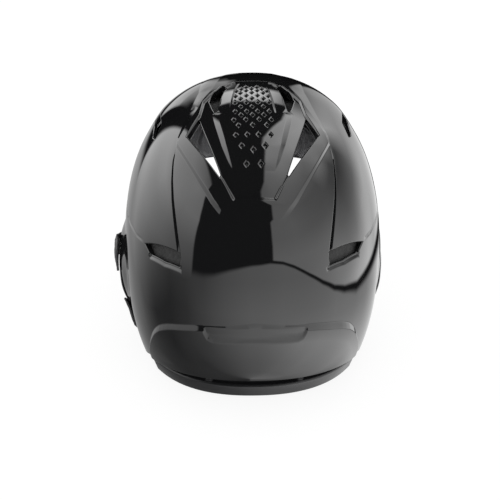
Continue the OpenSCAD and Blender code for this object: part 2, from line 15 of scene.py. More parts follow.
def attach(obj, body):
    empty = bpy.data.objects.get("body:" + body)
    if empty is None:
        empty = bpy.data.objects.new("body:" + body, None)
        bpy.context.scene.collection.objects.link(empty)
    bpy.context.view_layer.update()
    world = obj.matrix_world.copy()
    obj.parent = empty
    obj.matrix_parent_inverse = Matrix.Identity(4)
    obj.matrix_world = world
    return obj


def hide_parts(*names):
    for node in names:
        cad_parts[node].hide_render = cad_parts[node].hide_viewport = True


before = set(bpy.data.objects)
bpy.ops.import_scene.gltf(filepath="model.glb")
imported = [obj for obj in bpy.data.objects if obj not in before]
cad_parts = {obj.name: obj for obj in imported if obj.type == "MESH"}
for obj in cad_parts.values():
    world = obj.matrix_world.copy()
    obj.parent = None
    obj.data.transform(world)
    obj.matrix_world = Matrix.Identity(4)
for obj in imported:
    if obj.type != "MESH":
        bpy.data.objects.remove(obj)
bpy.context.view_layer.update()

# %% [markdown]
# ## The sizes that the shape is worked out from
# All lengths are in millimetres until a mesh is written, because that is how a helmet
# maker reads them. They are the same driving dimensions as the measured model's.

# %% Driving dimensions
MM = 0.001
half_w, rim_half_w = 102.0, 90.0          # half widths at the belt and at the rim
crown_z, belt_z = 209.0, 84.0             # heights of the crown and the belt
rear_len, rim_rear = 127.0, 93.0          # reach to the back at the belt and the rim
front_len, rim_front = 139.0, 128.0       # reach to the front
wall = 3.2                                # thickness of the shell
model_m, plan_n, skirt_p = 2.35, 2.25, 2.2  # squareness in elevation, in plan, of the skirt
dome_m = 2.48                             # in elevation again, for shoulders up to 2 mm fuller
belt_r, skirt_r = 190.0, 84.0             # the belt's radius and the skirt's depth on the map
brim_len, back_step = 38.0, 2.0           # reach of the brim, height of the raised back panel
crown_y = (front_len + brim_len - rear_len - back_step) / 2
ear_y, ear_z, ear_half_l, ear_half_h = -6.0, 52.0, 19.0, 18.5
print("crown sits", crown_y, "mm behind the middle of the helmet")

# %% [markdown]
# ## Camera
# A product photographer stands well back with a long lens, so that the helmet's near and
# far sides keep their true proportions. The camera stands 1.31 m behind the helmet and
# looks down at 30 degrees. The lens is worked out from the distance in pixels.

# %% Camera
scene = bpy.context.scene
cam = bpy.data.objects.new("camera", bpy.data.cameras.new("camera"))
scene.collection.objects.link(cam)
scene.camera = cam
distance, focal_px, picture_px, sensor_mm = 1.310, 1624.0, 500, 36
azimuth, elevation = math.radians(178.85), math.radians(30.0)
back_dir = Vector((math.sin(azimuth) * math.cos(elevation), -math.cos(azimuth) * math.cos(elevation),
                   math.sin(elevation)))
target = Vector((0, crown_y * MM, 0.100))
cam.location = target + back_dir * distance
cam.rotation_euler = back_dir.to_track_quat("Z", "Y").to_euler()
cam.data.sensor_width = sensor_mm
cam.data.lens = sensor_mm * focal_px / picture_px
cam.data.shift_x, cam.data.shift_y = -2 / picture_px, -26 / picture_px
scene.view_settings.view_transform = "Standard"
print("camera at", [round(v, 3) for v in cam.location])

# %% [markdown]
# ## Studio
# Black gloss has hardly any colour of its own: what one sees is the studio, mirrored. So the
# light is drawn as a sky in two angles, compass direction and height. It has a tall soft box
# on the left, a larger, weaker one from the front right to behind, a dark gap between them,
# a pale floor that meets them in a horizon, soft on the left and sharper on the right, and
# small soft boxes in front. The camera sees plain white instead of that sky.


# %% Small helpers for nodes
class Nodes:
    """Writes shader nodes as short expressions: numbers and sockets go in, sockets come out."""

    def __init__(self, tree, clear=True):
        self.tree = tree
        if clear:
            tree.nodes.clear()

    def add(self, kind, inputs=(), output=0, **settings):
        node = self.tree.nodes.new("ShaderNode" + kind)
        for key, value in settings.items():
            setattr(node, key, value)
        for key, value in dict(inputs).items():
            if isinstance(value, bpy.types.NodeSocket):
                self.tree.links.new(value, node.inputs[key])
            else:
                node.inputs[key].default_value = value
        return node.outputs[output] if len(node.outputs) else node

    def math(self, operation, *values):
        return self.add("Math", enumerate(values), operation=operation)

    def product(self, value, *factors):
        for factor in factors:
            value = self.math("MULTIPLY", value, factor)
        return value

    def minus(self, a, b):
        return self.math("SUBTRACT", a, b)

    def scaled(self, value, low, high, start=0.0, end=1.0, kind="LINEAR"):
        """From start at low to end at high."""
        return self.add("MapRange", {0: value, 1: low, 2: high, 3: start, 4: end}, interpolation_type=kind)

    def step(self, value, low, high):
        """Smooth step from 0 at low to 1 at high."""
        return self.scaled(value, low, high, kind="SMOOTHSTEP")

    def place(self):
        """Object coordinates: where the point is, in metres."""
        return self.add("TexCoord", output=3)

    def noise(self, where, scale, detail, **sockets):
        return self.add("TexNoise", {"Vector": where, "Scale": scale, "Detail": detail, **sockets})

    def bump(self, height, strength, distance):
        return self.add("Bump", {"Height": height, "Strength": strength, "Distance": distance})

    def table(self, value, points, low, high, top):
        """Straight lines between points, for a value from low to high and results up to top."""
        share = self.scaled(value, low, high)
        node = self.tree.nodes.new("ShaderNodeFloatCurve")
        self.tree.links.new(share, node.inputs["Value"])
        curve = node.mapping.curves[0]
        while len(curve.points) < len(points):
            curve.points.new(0.5, 0.5)
        for spot, (x, y) in zip(curve.points, points):
            spot.location = ((x - low) / (high - low), y / top)
            spot.handle_type = "VECTOR"
        node.mapping.update()
        return self.product(node.outputs[0], top)


# %% Sky of soft boxes
world = bpy.data.worlds.new("studio")
scene.world = world
world.use_nodes = True
n = Nodes(world.node_tree)
way = n.add("TexCoord")
x, y, z = (n.add("SeparateXYZ", {0: way}, output=i) for i in range(3))
to_right = n.product(x, -1.0)
turn = n.product(n.math("ARCTAN2", to_right, y), 180 / math.pi)
rise = n.product(n.math("ARCSINE", z), 180 / math.pi)
brightest, highest_edge = 4.0, 60.0
# a curve node holds nothing below 0, so its heights and directions are written this much too large
height_lift, turn_lift = 40.0, 90.0


def around(points):
    """Level over the compass direction, 0 straight behind the helmet and right positive."""
    ends = [(-180, points[0][1])] + points + [(180, points[-1][1])]
    return n.table(turn, ends, -180, 180, brightest)


def over_rise(points, top):
    return n.table(rise, [(-90, points[0][1])] + points + [(90, points[-1][1])], -90, 90, top)


def sheet(rows):
    """Level over direction and height: rows of (height, points), with straight lines between rows."""
    height, points = rows[0]
    level = last = around(points)
    for above, points in rows[1:]:
        row = around(points)
        level = n.math("MULTIPLY_ADD", n.minus(row, last), n.scaled(rise, height, above), level)
        height, last = above, row
    return level


left = sheet([(-36, [(-150, 0.3), (-120, 0.2), (-105, 0.05)]),
              (-18, [(-150, 0.7), (-138, 1.1), (-118, 0.9), (-95, 0.5), (-80, 0.3), (-52, 0.4)]),
              (-6, [(-150, 1.7), (-120, 1.6), (-95, 1.25), (-75, 0.95), (-52, 0.85)]),
              (6, [(-150, 2.0), (-120, 2.1), (-95, 1.75), (-80, 1.35), (-52, 1.15)]),
              (18, [(-150, 2.6), (-120, 3.0), (-100, 2.5), (-80, 1.9), (-52, 1.7)]),
              (28, [(-140, 2.7), (-100, 2.7), (-80, 2.3), (-52, 2.1)]),
              (48, [(-130, 2.5), (-80, 2.6), (-60, 2.1)]),
              (60, [(-120, 1.8), (-90, 1.6), (-70, 1.1)]),
              (70, [(-110, 0.6), (-60, 0.6)])])
left_end = n.minus(over_rise([(0, 38), (28, 36), (40, 32), (48, 27), (60, 22)], turn_lift), turn_lift)
left = n.product(left, n.step(n.minus(left_end, turn), -1.2, 1.2), n.step(to_right, -0.45, -0.49))
right = sheet([(-26, [(60, 2.0), (90, 2.4), (112, 2.7), (130, 2.2), (142, 1.3), (165, 1.2)]),
               (-10, [(40, 1.8), (60, 2.1), (80, 2.4), (95, 1.8), (110, 1.6), (126, 2.2), (140, 1.8),
                      (155, 1.1), (172, 0.7)]),
               (3, [(12, 1.7), (50, 1.9), (74, 1.95), (90, 1.4), (105, 1.0), (130, 0.9), (150, 1.2),
                    (163, 1.0), (172, 0.4)]),
               (20, [(12, 1.4), (35, 1.5), (60, 1.3), (82, 1.15), (92, 0.9), (104, 0.55), (120, 0.33),
                     (134, 0.35), (142, 1.3), (149, 2.5), (156, 1.6), (164, 0.4)]),
               (30, [(12, 1.4), (35, 1.5), (60, 1.2), (90, 0.9), (104, 0.65), (120, 0.6), (130, 1.6),
                     (140, 2.2), (150, 2.9), (160, 2.6)]),
               (42, [(12, 1.3), (35, 1.4), (60, 1.1), (90, 0.95), (104, 1.7), (115, 2.2), (125, 2.1),
                     (134, 2.2), (144, 3.2), (155, 3.2), (165, 2.7)]),
               (56, [(8, 1.4), (30, 1.55), (90, 1.5), (112, 1.8), (128, 2.8), (140, 3.4), (156, 3.3),
                     (165, 2.8)]),
               (72, [(8, 1.1), (30, 1.7), (60, 1.95), (90, 2.4), (120, 2.7), (150, 2.8)])])
edge = n.minus(n.table(turn, [(-180, 28), (-60, 28), (-52, 32), (-40, 32.5), (-30, 34), (-15, 38.5),
                              (0, 42), (10, 43), (20, 41), (30, 36.5), (45, 28), (60, 20.5), (75, 15),
                              (90, 12), (110, 10), (150, 11), (180, 11)], -180, 180, highest_edge),
               height_lift)
side_end = over_rise([(15, 0.21), (38, 0.18), (46, 0.13), (58, 0.075), (67, 0.07), (76, 0.1)], 1.0)
right = n.product(right, n.step(n.minus(to_right, side_end), -0.015, 0.015),
                  n.step(n.minus(rise, edge), 0.5, 2.0))
ground = sheet([(-80, [(-120, 0.1), (-60, 0.2), (-20, 0.5), (30, 0.9), (80, 0.9), (120, 0.4)]),
                (-66, [(-110, 0.1), (-60, 0.2), (-30, 0.5), (0, 0.95), (30, 1.4), (60, 1.6), (90, 1.3),
                       (112, 1.0), (125, 0.3)]),
                (-46, [(-150, 0.3), (-120, 0.2), (-85, 0.1), (-60, 0.3), (-40, 0.5), (-20, 0.95), (0, 1.45),
                       (20, 2.0), (40, 2.55), (65, 2.6), (90, 2.2), (120, 1.8), (150, 1.1), (170, 0.5)]),
                (-30, [(-150, 0.5), (-132, 0.5), (-105, 0.1), (-80, 0.15), (-60, 0.3), (-40, 0.7),
                       (-20, 1.15), (0, 1.6), (20, 1.8), (80, 1.8), (95, 1.5), (110, 1.1), (130, 0.8),
                       (160, 1.0)]),
                (-12, [(-150, 0.8), (-80, 0.3), (-52, 0.5), (-40, 0.55), (-20, 1.0), (0, 1.3), (20, 1.5),
                       (60, 1.6)])])
softness = n.scaled(turn, -40.0, 15.0, 6.5, 2.0)
ground = n.product(ground, n.step(n.minus(edge, rise), 0.2, softness))
none = [(-150, 0.0), (150, 0.0)]
high = [(-178, 3.1), (-172, 2.6), (-168, 0.0), (167, 0.0), (172, 1.7), (178, 3.4)]
front = sheet([(-10, none), (-7, [(-176, 0.0), (-172, 1.2), (-160.5, 1.5), (-159, 0.0), (150, 0.0)]),
               (4, [(-177, 0.0), (-175, 0.7), (-168, 1.1), (-160.5, 1.5), (-159, 0.0), (150, 0.0)]),
               (6, [(-178, 0.0), (-176, 0.85), (-161, 0.9), (-159, 0.0), (150, 0.0)]),
               (14, [(-178, 0.0), (-176, 0.8), (-165, 0.8), (-162, 0.0), (150, 0.0)]), (17, none),
               (19.5, high), (25.3, high),
               (26.3, none)])
sky = n.math("MAXIMUM", n.math("ADD", left, right), n.math("ADD", ground, front))
rays = n.tree.nodes.new("ShaderNodeLightPath").outputs
mirror_ray = rays["Is Glossy Ray"]
plain_ray = n.math("MAXIMUM", rays["Is Camera Ray"], rays["Is Transmission Ray"])
level = n.math("MULTIPLY_ADD", n.minus(sky, 1.0), n.product(mirror_ray, n.minus(1.0, plain_ray)), 1.0)
n.add("OutputWorld", {"Surface": n.add("Background", {"Color": (1, 1, 1, 1), "Strength": level})})
print("studio sky:", len(world.node_tree.nodes), "nodes")

# %% [markdown]
# ## Floor
# The helmet stands on a seamless white sweep. The camera sees the floor as white paper that
# keeps the contact shadow. The light that a real floor throws back is in the sky already,
# so the sheet neither mirrors in the gloss nor shades the helmet from below.

# %% Floor
mesh = bpy.data.meshes.new("floor")
mesh.from_pydata([(-6, -6, 0), (6, -6, 0), (6, 6, 0), (-6, 6, 0)], [], [(0, 1, 2, 3)])
floor = bpy.data.objects.new("floor", mesh)
scene.collection.objects.link(floor)
floor.visible_glossy = floor.visible_diffuse = floor.visible_transmission = floor.visible_shadow = False
paper = bpy.data.materials.new("white_paper")
paper.use_nodes = True
n = Nodes(paper.node_tree)
glow, lit = 0.88, 0.16                    # the share of white that no shadow dims, and the share it dims
n.add("OutputMaterial", {"Surface": n.add("AddShader", {
    0: n.add("Emission", {"Color": (1, 1, 1, 1), "Strength": glow}),
    1: n.add("BsdfDiffuse", {"Color": (lit, lit, lit, 1)})})})
mesh.materials.append(paper)
print("floor: 12 m square")

# %% [markdown]
# ## One map for the whole shell
# A helmet is a dome with a skirt. Instead of pushing vertices about, every point is named
# by its place on a flat map: X to the wearer's left, Y to the back, with the crown in the
# middle. `skin` lifts the map onto the dome. Each horizontal section is a superellipse,
# a little squarer than an ellipse, and so is the profile from crown to belt. A raised
# band, a groove or a vent can then be drawn on the map with ruler and pencil.


# %% Map to dome
def lerp(a, b, t):
    return a + (b - a) * t


def ease(t):
    """Smooth step: 3t^2 - 2t^3 between 0 and 1."""
    c = np.clip(t, 0.0, 1.0)
    return c * c * (3.0 - 2.0 * c)


def signed_power(v, e):
    """|v|^e with the sign of v."""
    return np.sign(v) * np.abs(v) ** e


def unit(v):
    return v / np.maximum(np.linalg.norm(v, axis=-1, keepdims=True), 1e-9)


def full_turn(n):
    """n even angles once round, in radians."""
    return np.linspace(0, 2 * math.pi, n, endpoint=False)


def bisected(before, low, high, steps):
    """Halves each interval low to high, towards the place up to which before(mid) is true."""
    for _ in range(steps):
        mid = (low + high) / 2
        less = before(mid)
        low, high = np.where(less, mid, low), np.where(less, high, mid)
    return mid


def dome_scale(z):
    """(1 - t^m)^(1/m), t being the share of the height from belt to crown."""
    t = np.clip((z - belt_z) / (crown_z - belt_z), 0.0, 1.0)
    return (1.0 - t ** dome_m) ** (1.0 / dome_m)


def reaches(z, k):
    """Half width, reach to the back and to the front at height z; k is the dome's scale."""
    drawn = np.clip((belt_z - z) / belt_z, 0.0, 2.0) ** skirt_p
    return (half_w * k - (half_w - rim_half_w) * drawn,
            rear_len * k - (rear_len - rim_rear) * drawn,
            front_len * k - (front_len - rim_front) * drawn)


def bulged(x, y, z):
    """The flap swells outwards round the ear, by 4.5 mm at most."""
    d = np.hypot((y - ear_y) / 34.0, (z - ear_z - 12.0) / 33.0)
    return x + 4.5 * ease((1.25 - d) / 0.6) * np.clip(np.abs(x) / half_w * 2.0 - 1.0, 0.0, 1.0)


def section(a, z, k=None, inset=0.0):
    """Superellipse at height z: x = w sin(a)^(2/n), y = length cos(a)^(2/n), a from the back."""
    k = dome_scale(z) if k is None else k
    w, rear, front = reaches(z, k)
    length = lerp(front, rear, 0.5 + 0.5 * np.cos(a)) - inset
    x = (w - inset) * np.abs(np.sin(a)) ** (2.0 / plan_n)
    y = length * signed_power(np.cos(a), 2.0 / plan_n)
    return np.stack([np.sign(np.sin(a)) * bulged(x, y, z), y + crown_y, z + 0.0 * a], -1)


def skin(q, m=dome_m):
    """Map point to the outer surface: the radius sets the height by a cosine curve."""
    r, a = np.hypot(q[..., 0], q[..., 1]), np.arctan2(q[..., 0], q[..., 1])
    turn = np.clip(r / belt_r, 0.0, 1.0) * math.pi / 2
    up = r <= belt_r
    z = np.where(up, belt_z + (crown_z - belt_z) * np.cos(turn) ** (2.0 / m),
                 belt_z * (1.0 - (r - belt_r) / skirt_r))
    return section(a, z, np.where(up, np.sin(turn) ** (2.0 / m), 1.0))


def slope_normal(surface, q, e=0.06):
    """Unit normal of a surface over the plane, from differences along both of its axes."""
    dx, dy = np.array([e, 0.0]), np.array([0.0, e])
    return unit(np.cross(surface(q + dx) - surface(q - dx), surface(q + dy) - surface(q - dy)))


def over(q, h, m=dome_m):
    """Point at height h over the skin."""
    return skin(q, m) + np.asarray(h)[..., None] * slope_normal(lambda p: skin(p, m), q)


def under(q, depth):
    """Point at a depth under the measured model's skin, where the liner and the pads lie."""
    return over(q, 0.0 * q[..., 0] - depth, model_m)


def polar(a, r):
    """Map point at angle a in degrees from the back, at radius r."""
    return np.stack([r * np.sin(np.radians(a)), r * np.cos(np.radians(a))], -1)


print("crown", np.round(skin(np.array([0.0, 1e-3])), 1), "belt", np.round(skin(polar(90.0, belt_r)), 1))

# %% [markdown]
# ## Distances on the map
# Bevels, grooves and rounded edges all follow from one question: how far is a point from
# an outline? `edge_distance` answers it for many points at once, positive inside. `ramp`
# turns a distance into the cross section of a bevel with slightly rounded corners, which
# is what gives gloss plastic its thin lines of light.


# %% Outlines and distances
def segment_distance(p, a, b):
    """Distance from each point to each segment a-b, as an array of points by segments."""
    ab, ap = b - a, p[:, None, :] - a
    t = np.clip((ap * ab).sum(-1) / np.maximum((ab * ab).sum(-1), 1e-12), 0.0, 1.0)
    return np.linalg.norm(ap - t[..., None] * ab, axis=-1)


def in_blocks(function, p, block=8192):
    """Runs a function over blocks of points, so that the arrays stay small."""
    return np.concatenate([function(p[i:i + block]) for i in range(0, max(len(p), 1), block)])


def edge_distance(p, outline):
    """Distance to a closed outline, positive inside (even-odd rule)."""
    a, b = outline, np.roll(outline, -1, axis=0)

    def part(s):
        above = (a[:, 1] > s[:, None, 1]) != (b[:, 1] > s[:, None, 1])
        rise = np.where(np.abs(b[:, 1] - a[:, 1]) < 1e-9, 1e-9, b[:, 1] - a[:, 1])
        cross_x = a[:, 0] + (s[:, None, 1] - a[:, 1]) * (b[:, 0] - a[:, 0]) / rise
        inside = ((above & (s[:, None, 0] < cross_x)).sum(1) % 2) == 1
        return np.where(inside, 1.0, -1.0) * segment_distance(s, a, b).min(1)
    return in_blocks(part, p)


def line_distance(p, line):
    """Distance to an open line, and the place along it from 0 to 1."""
    a, b = line[:-1], line[1:]

    def part(s):
        d = segment_distance(s, a, b)
        k = d.argmin(1)
        ab = (b - a)[k]
        t = np.clip(((s - a[k]) * ab).sum(-1) / (ab * ab).sum(-1), 0.0, 1.0)
        return np.stack([d[np.arange(len(s)), k], (k + t) / len(a)], -1)
    return in_blocks(part, p).T


def ramp(d, width, soft):
    """0 outside, 1 past width, straight between, with both corners rounded over soft."""
    def hinge(t):
        return np.where(t > soft, t, np.where(t < -soft, 0.0, (t + soft) ** 2 / (4.0 * soft)))
    return (hinge(d) - hinge(d - width)) / width


def mirrored(points):
    """The same outline on the wearer's right, still turning the same way."""
    return (points * [-1.0, 1.0])[::-1]


def both_sides(table):
    """Closed outline from a table of Y and half width."""
    t = np.array(table, float)
    left = np.stack([t[:, 1], t[:, 0]], -1)
    return np.concatenate([left, mirrored(left)])


def subdivided(points, step, closed=True):
    """Splits every edge into pieces no longer than step."""
    ends = np.roll(points, -1, axis=0) if closed else points[1:]
    pieces = []
    for a, b in zip(points, ends):
        n = max(int(math.ceil(np.linalg.norm(b - a) / step)), 1)
        pieces.append(lerp(a, b, np.arange(n)[:, None] / n))
    return np.concatenate(pieces + ([] if closed else [points[-1:]]))


def rounded(points, radius, n=5):
    """Replaces each corner by a quadratic curve that starts radius before it."""
    before, after = np.roll(points, 1, axis=0), np.roll(points, -1, axis=0)
    reach_a = np.minimum(radius, 0.45 * np.linalg.norm(before - points, axis=1))[:, None]
    reach_b = np.minimum(radius, 0.45 * np.linalg.norm(after - points, axis=1))[:, None]
    a, b = points + unit(before - points) * reach_a, points + unit(after - points) * reach_b
    t = np.linspace(0.0, 1.0, n)[:, None, None]
    return ((1 - t) ** 2 * a + 2 * t * (1 - t) * points + t ** 2 * b).transpose(1, 0, 2).reshape(-1, 2)


# %% [markdown]
# ## What is moulded into the shell
# Seen from above, a raised horseshoe frame runs from the brow round the crown and comes to
# a point at the back. Inside it a panel is sunk, and along the panel stands a spine with
# rows of diamond dimples. A crease falls from each corner of the frame to a vent behind
# the ear, a low step runs forward from that vent, and the back of the head carries a
# raised panel with a thumb recess. Each is an outline with a height.

# %% Outlines on the map
frame_outline = both_sides([[-112, 26], [-80, 34], [-50, 39], [-20.5, 41.4], [-3.7, 47.3], [4.9, 52.3],
                            [14.9, 58.4], [22.9, 62.6], [31.8, 64.8], [56, 54.5], [76.8, 45.6], [96, 36.5],
                            [112.3, 26.8], [129.7, 12]])
panel_outline = both_sides([[-24.3, 11], [-22.6, 13.8], [-13.6, 25.9], [-4.3, 35.5], [9, 39.5],
                            [28.1, 52.7], [78.3, 24.4], [97.8, 15.8]])
spine_outline = both_sides([[-22.6, 12.9], [-12, 19.2], [7.6, 23.9], [9.7, 28.4], [24.5, 26.1],
                            [46.4, 22.2], [61.7, 18.3], [72.9, 14.6]])
strip_outline = both_sides([[-21.8, 7.8], [-12.1, 10.3], [2.9, 12.9], [14.2, 15]])
crease_line = np.array([[64.8, 32.8], [69.7, 46.4], [73.5, 63.8], [76.0, 80.9], [77.6, 99], [79.6, 121],
                        [80.6, 129]])
flank_line = np.array([[128.5, 88.2], [140.4, 70.5], [151, 46], [160, 18], [163, -12], [160, -44]], float)
vents = {
    "top": [[39.5, 10.9], [52.8, 29.1], [25.4, 79.4], [24.4, 73.1]],
    "fore": [[31.6, -5.4], [26.2, 8.7], [23, 8], [17.3, -11.2], [15.6, -19.1], [20.8, -20.7]],
    "side": [[83, -7], [91.5, 5], [97.8, -1.5], [96.5, -30], [88, -36]],
    "rear": [[129.5, 87.8], [79, 124], [77.6, 130], [83, 136.6], [103.5, 122.6], [123.5, 104.3]],
    "brow": [[20, -104], [44, -96], [48, -108], [26, -118]],
}
rear_vent = np.array(vents["rear"], float)
tab_angle = np.array([20.6, 20.2, 19.3, 18, 15.5, 12, 6])
tab_half = polar(tab_angle, np.array([182, 192.5, 198, 203, 205.8, 205.8, 205]))
tab_outline = np.concatenate([tab_half, mirrored(tab_half)])


def map_x(x, y):
    """Map X of a real X on the skin at map Y, by bisection."""
    return bisected(lambda mid: skin(np.stack([mid, y], -1))[..., 0] < x,
                    np.full(x.shape, -40.0), np.full(x.shape, 40.0), 30)


dimple_rows = [[-14.2, 4.2], [-11.7, 0, 7.9], [-9.3, 4.3, 11.8], [-6.7, 0, 8.8], [-3.6, 4.3, 12.6],
               [-1, 0, 8.8], [1.7, 4.4, 13.1], [5.6, 0, 8.7], [10.6, 4.2, 13], [14.6, 0, 8.7],
               [19.9, 5.1, 14.2], [26.3, 0, 10.7], [37, 4.2, 12.8], [48.4, 8.6], [52.5, 0], [65.6, 5.4]]
dimples = np.array([[side * x, row[0]] for row in dimple_rows for x in row[1:]
                    for side in ([1, -1] if x else [1])])
dimple_x = dimples[:, 0]
dimple_at = np.stack([map_x(dimple_x, dimples[:, 1]), dimples[:, 1]], -1)
stretch = np.linalg.norm(skin(dimple_at + [0, 0.5]) - skin(dimple_at - [0, 0.5]), axis=1)
dimple_half = np.stack([np.interp(dimples[:, 1], [0, 66], [2.15, 2.5]), 4.1 / stretch], -1)
print(len(dimples), "dimples,", 2 * len(vents), "vents")


# %% Heights on the map
def by_table(at, values):
    """Function that reads its value off a table, with straight lines between the entries."""
    return lambda place: np.interp(place, at, values)


# widths of the slopes of frame and spine, over Y
frame_bevel = by_table([-60, -20.5, -7.3, 3.9, 15.8, 24.8, 31.8, 38.7, 53, 86, 105],
                       [20, 15, 10.5, 8.3, 7, 4.4, 2.8, 2.6, 2.8, 3.8, 4.4])
spine_bevel = by_table([-22.6, 7.1, 10, 16.5, 41.5, 61.7, 72.9], [1.2, 1.2, 5.5, 5.2, 4.0, 2.1, 0.7])
# the back panel's upper edge as a radius on the map, and its slope's width, over the angle from the back
back_top = by_table([0, 17, 25, 31, 35, 38, 40.7, 43, 45, 47, 49, 51, 53, 55.5, 58],
                    [188, 190.3, 193, 196, 198.3, 200.5, 203.2, 206, 209.5, 213.8, 219.5, 226, 234,
                     244, 254])
back_bevel = by_table([0, 17, 42], [3.4, 4.4, 5.6])
# half width of the crease over the share of its length
crease_half = by_table([0, 0.2, 0.4, 0.6, 0.8, 1], [0.6, 0.9, 1.3, 1.7, 2.0, 2.1])
# heights and depths of what is moulded
frame_h, shoulder_h, panel_d, strip_h, spine_h = 1.9, 1.6, 2.1, 0.45, 1.5
saucer_d, dimple_d, crease_slope, flank_d, thumb_h, ledge_d = 0.36, 1.5, 0.62, 0.6, 0.55, 1.5


def relief(q):
    """Height over the dome: frame and shoulders - panel + strip + spine - dimples - creases - low steps
    + back panel with its recess - ledges under the rear vents."""
    p = np.stack([np.abs(q[:, 0]), q[:, 1]], -1)
    x, y = p.T
    r, a = np.hypot(x, y), np.degrees(np.arctan2(x, y))
    h = frame_h * np.interp(y, [-112, -70, 100, 116], [0, 1, 1, 0]) * ramp(
        edge_distance(p, frame_outline), frame_bevel(y), 0.5)
    h += shoulder_h * ease(1 - np.abs(y + 50) / 50) * ease((x - 18) / 22) * ease((112 - x) / 30)
    h -= panel_d * ramp(edge_distance(p, panel_outline), 1.3, np.interp(y, [80, 96], [0.35, 0.6]))
    h += strip_h * np.interp(y, [-21.8, 3.8, 14.2], [1, 1, 0]) * ramp(
        edge_distance(p, strip_outline), 1.3, 0.3)
    h += spine_h * np.interp(y, [-26, 47.4, 71.9], [1, 1, 0]) * ramp(
        edge_distance(p, spine_outline), spine_bevel(y), 0.45)
    near = (y > -22) & (y < 74) & (x < 17)
    across = np.abs(skin(q[near])[:, None, 0] - dimple_x) / dimple_half[:, 0]
    size = (across + np.abs(q[near, None, 1] - dimples[:, 1]) / dimple_half[:, 1]).min(1)
    h[near] -= saucer_d * ramp(1.0 - size, 0.36, 0.12) + dimple_d * ramp(0.64 - size, 0.12, 0.03)
    d, t = line_distance(p, crease_line)
    half, off = crease_half(t), np.sign(x - np.interp(y, crease_line[:, 1], crease_line[:, 0])) * d
    sunk = ramp(off + half, 0.4, 0.1) * np.clip(half - off, 0.0, None)
    h -= crease_slope * ease(t * 6) * np.where(t < 0.999, sunk, 0.0)
    d, t = line_distance(p, flank_line)
    h -= flank_d * ease(t * 8) * ease((1 - t) * 4) * (1.0 - ramp(d, 1.6, 0.4))
    raised = ramp((r - back_top(a)) / back_bevel(a), 1.0, 0.16) * ease((58.0 - a) / 4.0)
    thumb = ramp(edge_distance(p, tab_outline), 3.4, 0.5) * ease((206.5 - r) / 10.0)
    h += lerp(back_step * raised, thumb_h * ramp(r - back_top(a) - 0.4, 1.5, 0.3), thumb)
    lip = segment_distance(p, rear_vent[3:5], rear_vent[4:]).min(1)
    below = (p - rear_vent[3]) @ np.array([20.5, 14.0]) / 24.8 > -3.0
    outside = edge_distance(p, rear_vent) < 0.35
    h -= np.where(outside & below, ledge_d * ease((2.6 - lip) / 2.6), 0.0)
    return h


def flatter(y, z):
    """How much less the flap without the guard swells."""
    d = np.hypot((y - ear_y) / 36.0, (z - ear_z - 12.0) / np.where(z < ear_z + 12.0, 42.0, 33.0))
    return 2.9 * ease((1.25 - d) / 0.7)


def shell_surface(q):
    at = skin(q)
    less = np.where(q[..., 0] < -60.0, flatter(at[..., 1] - crown_y, at[..., 2]), 0.0)
    return over(q, relief(q) - less)


print("relief from", relief(dimple_at).min().round(2), "to",
      relief(np.array([[50.0, 40.0], [0.0, 110.0]])).max().round(2), "mm")

# %% [markdown]
# ## A plate with rounded edges
# The shell and the jaw guard are both plates: an outline with holes, laid over a curved
# surface. A constrained Delaunay triangulation fills the flat outline with triangles that
# respect every edge, and the surface function lifts them. The rim is then swept from the
# outer skin over a rounded edge to the inner skin, so the plate is closed and has a real
# thickness. The normals are worked out from the surface itself, and reflections stay calm.


# %% Plate builder
def placed(name, mesh):
    """Object for a mesh, at the origin, on the root body."""
    piece = bpy.data.objects.new(name, mesh)
    scene.collection.objects.link(piece)
    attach(piece, "root")
    return piece


def dressed(piece, node, made):
    """Hides the node of the measured model that the piece replaces, and gives the piece its material if it
    has none.
    """
    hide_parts(node)
    if not piece.data.materials:
        piece.data.materials.append(made)


def read(items, key, kind=float):
    """Three numbers of every item of a mesh, as the rows of an array."""
    flat = np.empty(len(items) * 3, kind)
    items.foreach_get(key, flat)
    return flat.reshape(-1, 3)


def new_piece(name, verts, faces, normals=None):
    """Piece from arrays in millimetres."""
    mesh = bpy.data.meshes.new(name)
    mesh.from_pydata((np.asarray(verts) * MM).tolist(), [], np.asarray(faces).tolist()
                     if isinstance(faces, np.ndarray) else faces)
    mesh.polygons.foreach_set("use_smooth", np.ones(len(mesh.polygons), bool))
    if normals is not None:
        mesh.normals_split_custom_set_from_vertices(unit(normals).tolist())
    mesh.update()
    print(f"{name}: {len(mesh.vertices)} points, {len(mesh.polygons)} faces")
    return placed(name, mesh)


def triangulated(loops, points, ties):
    """Triangles inside the first loop and outside the others, with every tie between points kept
    as an edge. Returns points, triangles, and where the loop points went."""
    flat = np.concatenate(loops + [points])
    edges, start = [], 0
    for loop in loops:
        k = np.arange(len(loop))
        edges.append(np.stack([k, np.roll(k, -1)], -1) + start)
        start += len(loop)
    edges.append(ties + start)
    all_triangles, merge = 0, 1e-4
    out = delaunay_2d_cdt([Vector(p) for p in flat], np.concatenate(edges).tolist(), [],
                          all_triangles, merge, True)
    verts, faces = np.array([tuple(v) for v in out[0]]), np.array(out[2])
    on_loop = np.array([any(k < start for k in source) or not source for source in out[3]])
    where = np.zeros(start, int)
    for new, source in enumerate(out[3]):
        for old in source:
            if old < start:
                where[old] = new
    doubt = on_loop[faces].all(1)
    mid = verts[faces[doubt]].mean(1)
    inside = edge_distance(mid, loops[0]) > 0
    for hole in loops[1:]:
        inside &= edge_distance(mid, hole) < 0
    keep = np.ones(len(faces), bool)
    keep[doubt] = inside
    faces = faces[keep]
    a, b, c = verts[faces[:, 0]], verts[faces[:, 1]], verts[faces[:, 2]]
    turn = (b - a)[:, 0] * (c - a)[:, 1] - (b - a)[:, 1] * (c - a)[:, 0]
    faces[turn < 0] = faces[turn < 0][:, ::-1]
    return verts, faces, where


